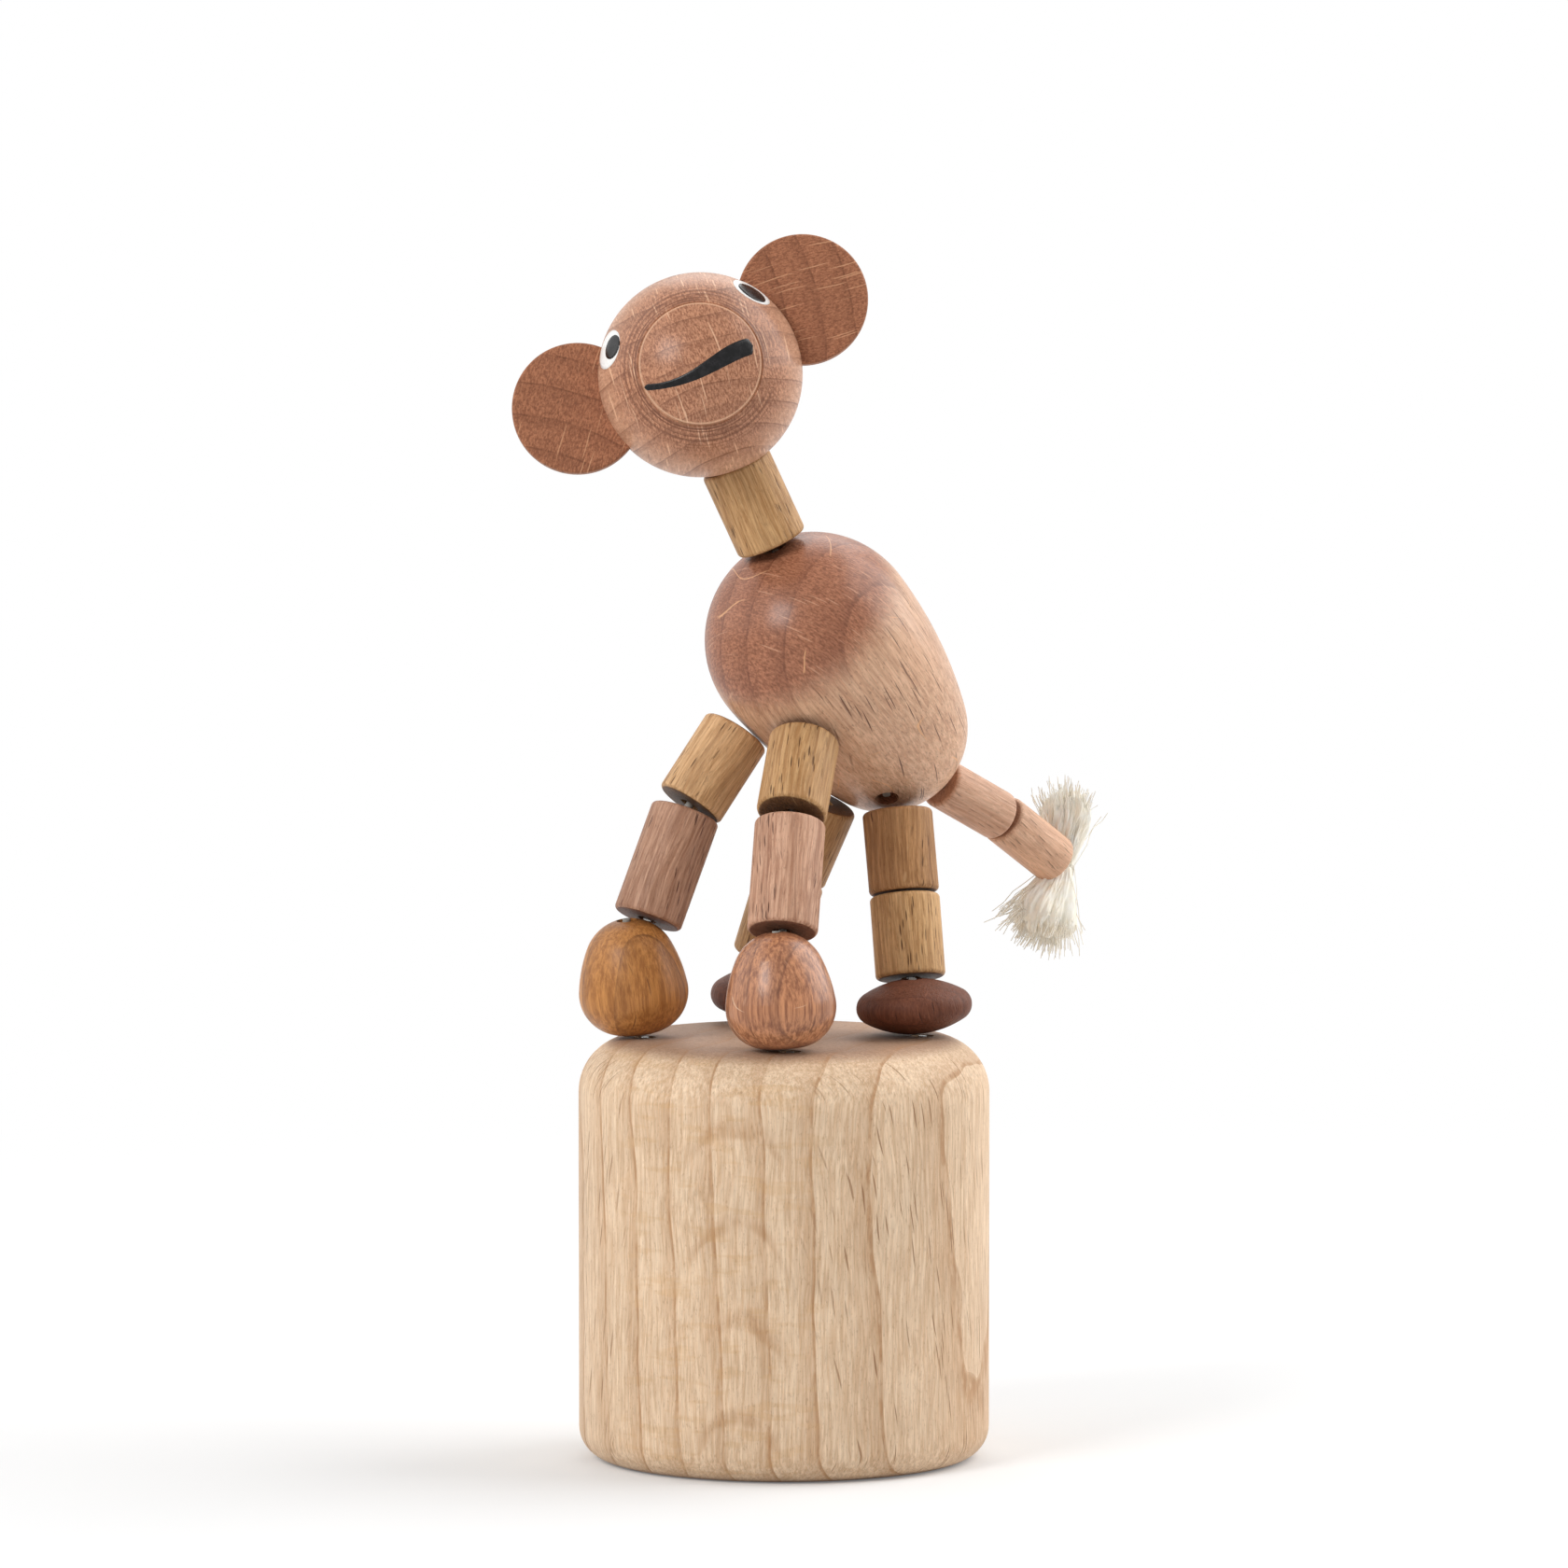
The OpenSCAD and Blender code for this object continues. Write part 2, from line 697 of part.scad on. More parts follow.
module head_ball() {
  head_r = head_d / 2;
  ring_out = muzzle_d / 2;
  ring_along = sqrt(pow(head_r, 2) - pow(ring_out, 2));
  rotate([90, 0, 0])
    rotate_extrude()
      intersection() {
        difference() {
          union() {
            circle(head_r, $fn = 128);
            intersection() {
              translate([0, muzzle_lift])
                circle(head_r, $fn = 128);
              square([ring_out, head_d]);
            }
          }
          translate([ring_out, ring_along])
            circle(muzzle_groove / 2, $fn = 32);
        }
        translate([0, -head_r])
          square([head_r, 2 * head_r + muzzle_lift]);
      }
}

module head() {
  color(red_stain)
    difference() {
      pose_head()
        difference() {
          head_ball();
          ear_disc(1, ear_play);
          ear_disc(-1, ear_play);
        }
      stand(top_of(neck_bead) - 2 * over * neck_dir, neck_dir)
        cylinder(d = neck_d + 2 * head_seat_play, h = 2 * over + bead_gap);
      rod(head_c - (head_d / 2 + over) * head_seat, head_c + head_hole_past * head_seat, bead_bore_d);
    }
}

module left_ear() { color(red_stain) pose_head() ear_disc(1, 0); }
module right_ear() { color(red_stain) pose_head() ear_disc(-1, 0); }

module tail_root() {
  color(red_stain)
    stand(tail_root_bead[0], tail_root_bead[1])
      dowel(tail_d, tail_len);
}

module tail_tip() {
  color(red_stain)
    stand(tail_tip_bead[0], tail_tip_bead[1])
      dowel(tail_d, tail_len);
}

// Cotton tuft tied across the end of the tail
tie_point = top_of(tail_tip_bead) + (tuft_waist_d / 2 + bead_gap) * tail_tip_dir;
module tuft_half(aim) {
  belly = 0.8 * tuft_len;
  stand(tie_point, aim_dir(aim))
    rotate_extrude()
      polygon([
        [0, 0],
        [tuft_waist_d / 2, 0],
        [tuft_d / 2, belly],
        [tuft_d / 3, tuft_len],
        [0, tuft_len]
      ]);
}

module tail_tuft() {
  color(cotton)
    difference() {
      union() {
        translate(tie_point)
          sphere(d = tuft_waist_d);
        tuft_half(tuft_upper_aim);
        tuft_half(tuft_lower_aim);
      }
      stand(tail_tip_bead[0], tail_tip_bead[1])
        cylinder(r = tail_d / 2 + bead_gap, h = tail_len + bead_gap);
    }
}

// Length of string in a bead, from the middle of the gap below it to the middle of the gap above
module bead_string(bead, gap_below, gap_above) {
  low = bead[0] - (gap_below - string_gap) / 2 * bead[1];
  high = top_of(bead) + (gap_above - string_gap) / 2 * bead[1];
  color(nylon)
    rod(low, high, string_d);
}
function gap_on(lower, upper) = (upper[0] - top_of(lower)) * unit(lower[1] + upper[1]);
module limb_string(chain, k) {
  below = k == 0 ? 2 * string_gap : gap_on(chain[k - 1], chain[k]);
  above = k == 2 ? 2 * string_gap : gap_on(chain[k], chain[k + 1]);
  bead_string(chain[k], below, above);
}

module left_hand_string() { limb_string(left_arm, 0); }
module left_forearm_string() { limb_string(left_arm, 1); }
module left_upper_arm_string() { limb_string(left_arm, 2); }
module right_hand_string() { limb_string(right_arm, 0); }
module right_forearm_string() { limb_string(right_arm, 1); }
module right_upper_arm_string() { limb_string(right_arm, 2); }
module left_foot_string() { limb_string(left_leg, 0); }
module left_lower_leg_string() { limb_string(left_leg, 1); }
module left_upper_leg_string() { limb_string(left_leg, 2); }
module right_foot_string() { limb_string(right_leg, 0); }
module right_lower_leg_string() { limb_string(right_leg, 1); }
module right_upper_leg_string() { limb_string(right_leg, 2); }

// Strings inside the body: arms to neck, legs to tail. Their ends lie below the mouths of the holes
module joined_strings(mouths, meet, ball_r) {
  for (m = mouths)
    rod(meet + (ball_r - string_inset) * unit(m - meet), meet, string_d);
  translate(meet)
    sphere(d = meeting_knot_d);
}
module body_strings() {
  color(nylon) {
    joined_strings(chest_mouths, chest_c, chest_r);
    joined_strings(rump_mouths, rump_c, rump_r);
  }
}

module neck_string() { bead_string(neck_bead, 2 * string_gap, 2 * string_gap); }
module head_string() {
  low = top_of(neck_bead) + string_gap * head_seat;
  color(nylon)
    rod(low, head_c + (head_hole_past - string_gap) * head_seat, string_d);
}
module tail_root_string() { bead_string(tail_root_bead, 2 * string_gap, gap_on(tail_root_bead, tail_tip_bead)); }
module tail_tip_string() { bead_string(tail_tip_bead, gap_on(tail_root_bead, tail_tip_bead), bead_gap); }

base();
push_button();
return_spring();
string_knots();
string_risers();
left_hand();
left_forearm();
left_upper_arm();
right_hand();
right_forearm();
right_upper_arm();
left_foot();
left_lower_leg();
left_upper_leg();
right_foot();
right_lower_leg();
right_upper_leg();
body();
neck();
head();
left_ear();
right_ear();
tail_root();
tail_tip();
tail_tuft();
left_hand_string();
left_forearm_string();
left_upper_arm_string();
right_hand_string();
right_forearm_string();
right_upper_arm_string();
left_foot_string();
left_lower_leg_string();
left_upper_leg_string();
right_foot_string();
right_lower_leg_string();
right_upper_leg_string();
body_strings();
neck_string();
head_string();
tail_root_string();
tail_tip_string();
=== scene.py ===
import math
import bpy
import bmesh
import numpy as np
from mathutils import Euler, Matrix, Vector


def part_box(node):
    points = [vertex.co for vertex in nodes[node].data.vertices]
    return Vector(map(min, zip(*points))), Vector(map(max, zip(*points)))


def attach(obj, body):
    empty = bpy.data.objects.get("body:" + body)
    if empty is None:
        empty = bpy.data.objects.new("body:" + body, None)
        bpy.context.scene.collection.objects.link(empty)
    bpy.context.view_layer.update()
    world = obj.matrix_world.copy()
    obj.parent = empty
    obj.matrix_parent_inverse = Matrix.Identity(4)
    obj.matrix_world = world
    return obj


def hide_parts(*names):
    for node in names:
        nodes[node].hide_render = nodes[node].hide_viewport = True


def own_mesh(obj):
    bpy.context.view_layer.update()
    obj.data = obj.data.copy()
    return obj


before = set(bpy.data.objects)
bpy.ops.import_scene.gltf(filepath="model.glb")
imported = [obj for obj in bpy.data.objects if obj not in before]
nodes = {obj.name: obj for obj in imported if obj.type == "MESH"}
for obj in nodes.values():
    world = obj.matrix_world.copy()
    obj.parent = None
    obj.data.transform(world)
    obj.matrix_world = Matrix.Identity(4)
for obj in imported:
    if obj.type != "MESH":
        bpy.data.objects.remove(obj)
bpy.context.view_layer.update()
print("frame loaded:", len(nodes), "CAD nodes")

millimetre = 0.001


# shared helpers

def stain(red, green, blue):  # a colour as seen on screen, 0 to 255
    parts = [c / 255 for c in (red, green, blue)]
    linear = [c / 12.92 if c <= 0.04045 else ((c + 0.055) / 1.055) ** 2.4 for c in parts]
    return tuple(linear) + (1.0,)


def addNode(tree, kind, values=None, **settings):
    node = tree.nodes.new(kind)
    for key, value in settings.items():
        setattr(node, key, value)
    for key, value in (values or {}).items():
        if isinstance(value, bpy.types.NodeSocket):
            tree.links.new(value, node.inputs[key])
        else:
            node.inputs[key].default_value = value
    return node


def calc(tree, operation, first, second=0.0):
    return addNode(tree, "ShaderNodeMath", {0: first, 1: second}, operation=operation).outputs[0]


def plus(tree, first, second):
    return calc(tree, "ADD", first, second)


def minus(tree, first, second):
    return calc(tree, "SUBTRACT", first, second)


def times(tree, first, *others):
    for other in others:
        first = calc(tree, "MULTIPLY", first, other)
    return first


def vectorCalc(tree, operation, first, second, output="Vector"):
    values = {0: first, 1: second}
    return addNode(tree, "ShaderNodeVectorMath", values, operation=operation).outputs[output]


def stretch(tree, vector, factors):  # each axis by its own factor
    return vectorCalc(tree, "MULTIPLY", vector, factors)


def scaled(tree, vector, factor):  # all axes by one factor
    values = {0: vector, "Scale": factor}
    return addNode(tree, "ShaderNodeVectorMath", values, operation="SCALE").outputs[0]


def lengthAlong(tree, vector, way):  # how far a vector goes in a direction
    return vectorCalc(tree, "DOT_PRODUCT", vector, way, "Value")


def fade(tree, value, low, high):  # 0 below low, 1 above high, smooth between
    values = {"Value": value, "From Min": low, "From Max": high}
    return addNode(tree, "ShaderNodeMapRange", values, interpolation_type="SMOOTHSTEP").outputs[0]


def blend(tree, share, first, second):  # a plain number between first and second
    values = {"Value": share, "To Min": first, "To Max": second}
    return addNode(tree, "ShaderNodeMapRange", values).outputs[0]


def tint(tree, share, first, second):  # a colour between first and second
    values = {0: share, 6: first, 7: second}
    return addNode(tree, "ShaderNodeMix", values, data_type="RGBA").outputs[2]


def grainNoise(tree, vector, scale, detail=2.0, roughness=0.5):
    values = {"Vector": vector, "Scale": scale, "Detail": detail, "Roughness": roughness}
    return addNode(tree, "ShaderNodeTexNoise", values).outputs[0]


def longNoise(tree, place, size, detail, roughness):  # noise with its own size along each axis
    return grainNoise(tree, stretch(tree, place, size), 1.0, detail, roughness)


def newMaterial(name):
    material = bpy.data.materials.new(name)
    material.use_nodes = True
    return material, material.node_tree, material.node_tree.nodes["Principled BSDF"]


def objectPlace(tree):
    return addNode(tree, "ShaderNodeTexCoord").outputs["Object"]


def mottle(tree, shader, place, look):  # two tones and a little change of gloss, from one noise
    spots = grainNoise(tree, place, *look["spots"])
    colour = tint(tree, fade(tree, spots, *look["spotRange"]), look["tone"], look["shade"])
    swing = look["roughSwing"]
    rough = plus(tree, look["rough"] - swing / 2, times(tree, spots, swing))
    tree.links.new(colour, shader.inputs["Base Color"])
    tree.links.new(rough, shader.inputs["Roughness"])
    return spots


def dress(piece, material):
    piece.data.materials.clear()
    piece.data.materials.append(material)


def layPiece(name, mesh, material):  # puts a mesh into the scene
    piece = bpy.data.objects.new(name, mesh)
    bpy.context.scene.collection.objects.link(piece)
    dress(piece, material)
    return piece


def shadeMesh(mesh, smooth=True):
    mesh.polygons.foreach_set("use_smooth", [smooth] * len(mesh.polygons))
    mesh.update()


def meshPiece(name, points, faces, material, smooth=True):
    mesh = bpy.data.meshes.new(name)
    mesh.from_pydata([tuple(p) for p in points], [], faces)
    shadeMesh(mesh, smooth)
    return layPiece(name, mesh, material)


# camera, floor and light

photoView = {
    "azimuth": 42.5, "distance": 1.1, "height": 0.166, "tilt": 4.78,
    "lens": 232.0, "sensor": 36.0, "near": 0.02, "far": 300.0,
}


def sideways(degrees):  # level direction, turned from the front towards the right
    turn = math.radians(degrees)
    return Vector((math.sin(turn), -math.cos(turn), 0))


def placeCamera(look):
    data = bpy.data.cameras.new("photoCamera")
    data.lens = look["lens"]
    data.sensor_width = look["sensor"]
    data.clip_start = look["near"]
    data.clip_end = look["far"]
    camera = bpy.data.objects.new("photoCamera", data)
    camera.location = sideways(look["azimuth"]) * look["distance"] + Vector((0, 0, look["height"]))
    camera.rotation_euler = (math.radians(90 - look["tilt"]), 0, math.radians(look["azimuth"]))
    bpy.context.scene.collection.objects.link(camera)
    bpy.context.scene.camera = camera


placeCamera(photoView)
bpy.context.scene.view_settings.view_transform = "Standard"

# turn is degrees to the right of the camera, rise degrees above the floor, lengths in metres
studio = {
    "ambient": 0.28,
    "aim": (0.0, 0.004, 0.075),
    "lamps": {
        "leftBox": {"turn": -92, "rise": 34, "distance": 0.80, "size": 0.85, "watts": 2.1},
        "rightBox": {"turn": 105, "rise": 36, "distance": 0.80, "size": 0.85, "watts": 7.0},
        "backBox": {"turn": 176, "rise": 46, "distance": 0.80, "size": 0.50, "watts": 1.5},
        "frontWindow": {"turn": -40, "rise": 30, "distance": 0.95, "size": 0.36, "watts": 4.3},
    },
}


def seenRays(tree):  # rays that show the background: straight, in gloss and through the line
    path = addNode(tree, "ShaderNodeLightPath").outputs
    either = calc(tree, "MAXIMUM", path["Is Camera Ray"], path["Is Glossy Ray"])
    return calc(tree, "MAXIMUM", either, path["Is Transmission Ray"])


def lightStudio(look, view):
    for name, lamp in look["lamps"].items():
        rise = math.radians(lamp["rise"])
        level = sideways(view["azimuth"] + lamp["turn"])
        way = level * math.cos(rise) + Vector((0, 0, math.sin(rise)))
        data = bpy.data.lights.new(name, "AREA")
        data.shape = "SQUARE"
        data.size = lamp["size"]
        data.energy = lamp["watts"]
        light = bpy.data.objects.new(name, data)
        light.location = Vector(look["aim"]) + way * lamp["distance"]
        light.rotation_euler = (-way).to_track_quat("-Z", "Y").to_euler()
        bpy.context.scene.collection.objects.link(light)
    world = bpy.data.worlds.new("studioAir")
    world.use_nodes = True
    bpy.context.scene.world = world
    tree = world.node_tree
    air = tree.nodes["Background"].inputs
    air["Color"].default_value = (1, 1, 1, 1)
    tree.links.new(blend(tree, seenRays(tree), look["ambient"], 1.0), air["Strength"])


lightStudio(studio, photoView)

floorLook = {"half": 60.0, "white": 0.74, "lift": 0.15, "nearEdge": 0.10, "farEdge": 0.32}


def layFloor(look):
    material = bpy.data.materials.new("paperFloor")
    material.use_nodes = True
    tree = material.node_tree
    tree.nodes.clear()
    reach = vectorCalc(tree, "LENGTH", objectPlace(tree), (0, 0, 0), "Value")
    far = fade(tree, reach, look["nearEdge"], look["farEdge"])
    seen = seenRays(tree)
    hidden = times(tree, seen, far)  # far off the paper is plain white to the camera
    paper = tint(tree, hidden, (look["white"],) * 3 + (1,), (0, 0, 0, 1))
    glow = times(tree, blend(tree, far, look["lift"], 1.0), seen)
    matt = addNode(tree, "ShaderNodeBsdfDiffuse", {"Color": paper}).outputs[0]
    shine = addNode(tree, "ShaderNodeEmission", {"Strength": glow}).outputs[0]
    both = addNode(tree, "ShaderNodeAddShader", {0: matt, 1: shine}).outputs[0]
    addNode(tree, "ShaderNodeOutputMaterial", {"Surface": both})
    h = look["half"]
    corners = [(-h, -h, 0), (h, -h, 0), (h, h, 0), (-h, h, 0)]
    floor = meshPiece("floor", corners, [(0, 1, 2, 3)], material, False)


layFloor(floorLook)
print("camera, light and floor placed")


# wood: x is across the rays, y out from the heart of the tree, z along the grain, in millimetres

# what all wood here shares: a pair is the low and high end of a fade,
# a noise has its cells per millimetre, detail and roughness
woodMake = {
    "seedStep": (31.7, 17.3, 53.9),
    "swingSize": 0.09, "swingStretch": (1, 1, 0.5),
    "band": (0.45, 1.0), "bandShare": 0.42,
    "lineOn": (0.91, 0.965), "lineOff": (0.985, 1.0), "lineShare": 0.58,
    "wornNoise": ((0.5, 0.5, 0.22), 3.0, 0.6), "worn": (0.36, 0.58),
    "fibreSize": 2.6, "fibreDetail": (4.0, 0.66), "fibre": (0.33, 0.67),
    "hairNoise": ((6.5, 6.5, 0.45), 1.0, 0.5),
    "weaveNoise": ((6.0, 2.0, 1.2), 2.0, 0.6), "weaveShare": 0.6, "endWeave": (0.38, 0.62),
    "speckNoise": ((4.5, 4.5, 1.6), 2.0, 0.6), "pore": (0.56, 0.72),
    "flatSawn": (0.3, 0.7), "markCore": 0.55, "markChance": 0.2,
    "fibreHeight": 0.8, "hairHeight": 0.4, "speckHeight": 0.35, "dashDepth": 0.9,
    "bumpDepth": 0.00012, "roughSwing": 0.16,
}

# pale beech; each piece names what it changes, and its own middle, grain and rays
plainWood = {
    "light": stain(240, 214, 184), "dark": stain(206, 172, 138),
    "endLight": stain(176, 142, 119), "endDark": stain(146, 113, 92),
    "endFrom": 0.80, "endFull": 0.98, "endShare": 0.8, "rearEnd": 1.0,
    "ringTone": stain(170, 122, 78), "ring": 0.72, "endRing": 0.5,
    "ringSpace": 5.07, "heart": 200.0, "lean": 0.035, "start": 0.19,
    "dashTone": stain(136, 90, 52), "dash": 0.7,
    "dashCell": (0.36, 9.0, 8.0), "dashShare": 0.75, "dashThin": 0.26, "slant": -7.0,
    "rayTone": stain(228, 196, 164), "ray": 0.25,
    "rayCell": (0.4, 12.0, 5.0), "rayShare": 0.4, "rayThin": 0.25,
    "fibre": 0.62, "fibreLong": 0.14, "hair": 0.16, "pore": 0.25,
    "wander": 1.4, "blotch": 0.05, "cloud": 0.12,
    "rough": 0.54, "gloss": 0.18, "coat": 0.0, "coatRough": 0.3, "relief": 0.6, "seed": 1.0,
}


def grainWays(grain, rays):  # across the rays, along them and along the grain
    along = Vector(grain).normalized()
    out = (Vector(rays) - Vector(rays).dot(along) * along).normalized()
    return out.cross(along), out, along


def grainPlaces(tree, look, ways):  # as it is, moved by the seed, with the slow wander, with both
    spot = addNode(tree, "ShaderNodeTexCoord").outputs
    turn = Matrix(ways).transposed().to_euler()
    values = {
        "Vector": spot["Object"], "Location": look["middle"], "Rotation": turn,
        "Scale": (millimetre,) * 3,
    }
    still = addNode(tree, "ShaderNodeMapping", values, vector_type="TEXTURE").outputs[0]
    other = vectorCalc(tree, "ADD", still, tuple(look["seed"] * k for k in woodMake["seedStep"]))
    drift = stretch(tree, other, woodMake["swingStretch"])
    values = {"Vector": drift, "Scale": woodMake["swingSize"], "Detail": 2.0}
    swing = addNode(tree, "ShaderNodeTexNoise", values).outputs["Color"]
    swing = vectorCalc(tree, "SUBTRACT", swing, (0.5, 0.5, 0.5))
    swing = stretch(tree, swing, (2 * look["wander"], 2 * look["wander"], 0))
    return {
        "normal": spot["Normal"], "still": still, "other": other,
        "wavy": vectorCalc(tree, "ADD", still, swing),
        "grainy": vectorCalc(tree, "ADD", other, swing),
    }


def growthRings(tree, look, place):  # about the heart of the tree, each ending in a thin dark line
    across, out, up = addNode(tree, "ShaderNodeSeparateXYZ", {0: place["wavy"]}).outputs
    flat = addNode(tree, "ShaderNodeCombineXYZ", {0: across, 1: out}).outputs[0]
    reach = vectorCalc(tree, "DISTANCE", flat, (0, -look["heart"], 0), "Value")
    reach = plus(tree, reach, times(tree, up, look["lean"]))
    phase = plus(tree, calc(tree, "DIVIDE", reach, look["ringSpace"]), look["start"])
    phase = calc(tree, "FRACT", phase)
    band = times(tree, fade(tree, phase, *woodMake["band"]), woodMake["bandShare"])
    line = fade(tree, phase, *woodMake["lineOn"])
    line = minus(tree, line, fade(tree, phase, *woodMake["lineOff"]))
    worn = longNoise(tree, place["other"], *woodMake["wornNoise"])
    worn = fade(tree, worn, *woodMake["worn"])
    return plus(tree, band, times(tree, line, worn, woodMake["lineShare"]))


def grainNoises(tree, look, place):  # drawn out along the grain
    fibreSize = (woodMake["fibreSize"], woodMake["fibreSize"], look["fibreLong"])
    return {
        "fibre": longNoise(tree, place["grainy"], fibreSize, *woodMake["fibreDetail"]),
        "hair": longNoise(tree, place["grainy"], *woodMake["hairNoise"]),
        "weave": longNoise(tree, place["grainy"], *woodMake["weaveNoise"]),
        "speck": longNoise(tree, place["other"], *woodMake["speckNoise"]),
    }


def cutShares(tree, look, normal, ways):  # which way the wood is cut at this spot
    facing = lengthAlong(tree, normal, tuple(ways[2]))
    facing = calc(tree, "MAXIMUM", facing, times(tree, facing, -look["rearEnd"]))
    ends = fade(tree, facing, look["endFrom"], look["endFull"])
    flat = calc(tree, "ABSOLUTE", lengthAlong(tree, normal, tuple(ways[1])))
    flat = fade(tree, flat, *woodMake["flatSawn"])
    return {"ends": ends, "sides": minus(tree, 1.0, ends), "flat": flat}


def marks(tree, place, cell, share, thin):  # thin lens-shaped marks, at most one to a cell
    values = {"Vector": vectorCalc(tree, "DIVIDE", place, cell), "Scale": 1.0}
    spots = addNode(tree, "ShaderNodeTexVoronoi", values).outputs
    core = minus(tree, 1.0, fade(tree, spots["Distance"], woodMake["markCore"] * thin, thin))
    chance = lengthAlong(tree, spots["Color"], (1, 0, 0))
    return times(tree, core, fade(tree, chance, 1.0 - share, 1.0 - share + woodMake["markChance"]))


def grainColour(tree, look, noise, cut, ring):  # fibre on sides, weave on ends, rings on both
    fibreShare = times(tree, fade(tree, noise["fibre"], *woodMake["fibre"]), look["fibre"])
    fibreShare = plus(tree, fibreShare, 0.5 - 0.5 * look["fibre"])
    colour = tint(tree, fibreShare, look["dark"], look["light"])
    weave = times(tree, noise["weave"], woodMake["weaveShare"])
    weave = plus(tree, weave, times(tree, noise["speck"], 1.0 - woodMake["weaveShare"]))
    weave = fade(tree, weave, *woodMake["endWeave"])
    endTone = tint(tree, weave, look["endDark"], look["endLight"])
    colour = tint(tree, times(tree, cut["ends"], look["endShare"]), colour, endTone)
    ringShare = times(tree, ring, blend(tree, cut["ends"], look["ring"], look["endRing"]))
    return tint(tree, ringShare, colour, look["ringTone"])


def addRipple(tree, look, place, cut, colour):  # pale brown ripple across the quarter-cut face
    fleck = look["fleck"]
    ripple = longNoise(tree, place["other"], *fleck["noise"])
    quarter = times(tree, minus(tree, 1.0, cut["flat"]), cut["sides"])
    ripple = times(tree, fade(tree, ripple, *fleck["range"]), quarter)
    return tint(tree, times(tree, ripple, fleck["share"]), colour, fleck["tone"])


def addArches(tree, look, place, cut, colour):  # a column of arches where rings touch the surface
    arch = look["arch"]
    side = minus(tree, lengthAlong(tree, place["wavy"], arch["across"]), arch["middle"])
    up = addNode(tree, "ShaderNodeSeparateXYZ", {0: place["wavy"]}).outputs[2]
    climb = plus(tree, up, times(tree, times(tree, side, side), arch["bow"]))
    shift = times(tree, grainNoise(tree, place["other"], arch["shiftSize"]), arch["shift"])
    climb = plus(tree, plus(tree, climb, shift), arch["start"])
    step = calc(tree, "FRACT", calc(tree, "DIVIDE", climb, arch["space"]))
    curve = minus(tree, fade(tree, step, *arch["on"]), fade(tree, step, *arch["off"]))
    beside = fade(tree, calc(tree, "ABSOLUTE", side), arch["half"] / 2, arch["half"])
    patchy = longNoise(tree, place["other"], *arch["patchNoise"])
    patchy = fade(tree, patchy, *arch["patch"])
    curve = times(tree, curve, minus(tree, 1.0, beside))
    curve = times(tree, curve, times(tree, cut["sides"], patchy))
    return tint(tree, times(tree, curve, arch["share"]), colour, look["ringTone"])


# stray pale marks left by turning: the level line of a slow noise, kept here and there
hairlineMake = {
    "offset": (9.0, 4.0, 2.0), "detail": 0.5, "thin": (0.001, 0.006),
    "bitNoise": (0.16, 1.0), "bit": (0.53, 0.60),
}


def addHairlines(tree, look, place, colour):
    make, hairline = hairlineMake, look["hairline"]
    moved = vectorCalc(tree, "ADD", place["other"], make["offset"])
    trail = grainNoise(tree, moved, hairline["size"], make["detail"])
    trail = fade(tree, calc(tree, "ABSOLUTE", minus(tree, trail, 0.5)), *make["thin"])
    bit = fade(tree, grainNoise(tree, place["other"], *make["bitNoise"]), *make["bit"])
    share = times(tree, minus(tree, 1.0, trail), bit, hairline["share"])
    return tint(tree, share, colour, hairline["tone"])


# fine rings cut by the turning tool round the muzzle, and a painted highlight along the edge of the
# muzzle groove; distances from the axis in millimetres
turnedMake = {
    "perMm": 4.2, "cut": (0.42, 0.62), "depth": 0.8,
    "on": (6.2, 6.9), "off": (7.6, 9.6), "patchNoise": (0.13, 1.0), "patch": (0.36, 0.50),
    "edge": (0.06, 0.22), "front": (0.0, 1.0), "edgeShare": 0.7,
}


def addTurning(tree, look, place, colour, height):
    make = turnedMake
    spin = vectorCalc(tree, "LENGTH", stretch(tree, place["still"], (1, 1, 0)), (0, 0, 0), "Value")
    values = {"W": times(tree, spin, make["perMm"]), "Detail": 1.0, "Scale": 1.0}
    cut = addNode(tree, "ShaderNodeTexNoise", values, noise_dimensions="1D").outputs[0]
    near = minus(tree, fade(tree, spin, *make["on"]), fade(tree, spin, *make["off"]))
    patch = grainNoise(tree, place["other"], *make["patchNoise"])
    near = times(tree, near, fade(tree, patch, *make["patch"]))
    share = times(tree, fade(tree, cut, *make["cut"]), near, look["turned"])
    colour = tint(tree, share, colour, look["ringTone"])
    height = plus(tree, height, times(tree, cut, near, make["depth"]))
    # painted highlight: a pale line along the edge of the muzzle groove, on the front of the head
    edge = calc(tree, "ABSOLUTE", minus(tree, spin, look["ringLine"]))
    forward = addNode(tree, "ShaderNodeSeparateXYZ", {0: place["still"]}).outputs[2]
    edge = minus(tree, 1.0, fade(tree, edge, *make["edge"]))
    edge = times(tree, edge, fade(tree, forward, *make["front"]))
    return tint(tree, times(tree, edge, make["edgeShare"]), colour, look["rayTone"]), height


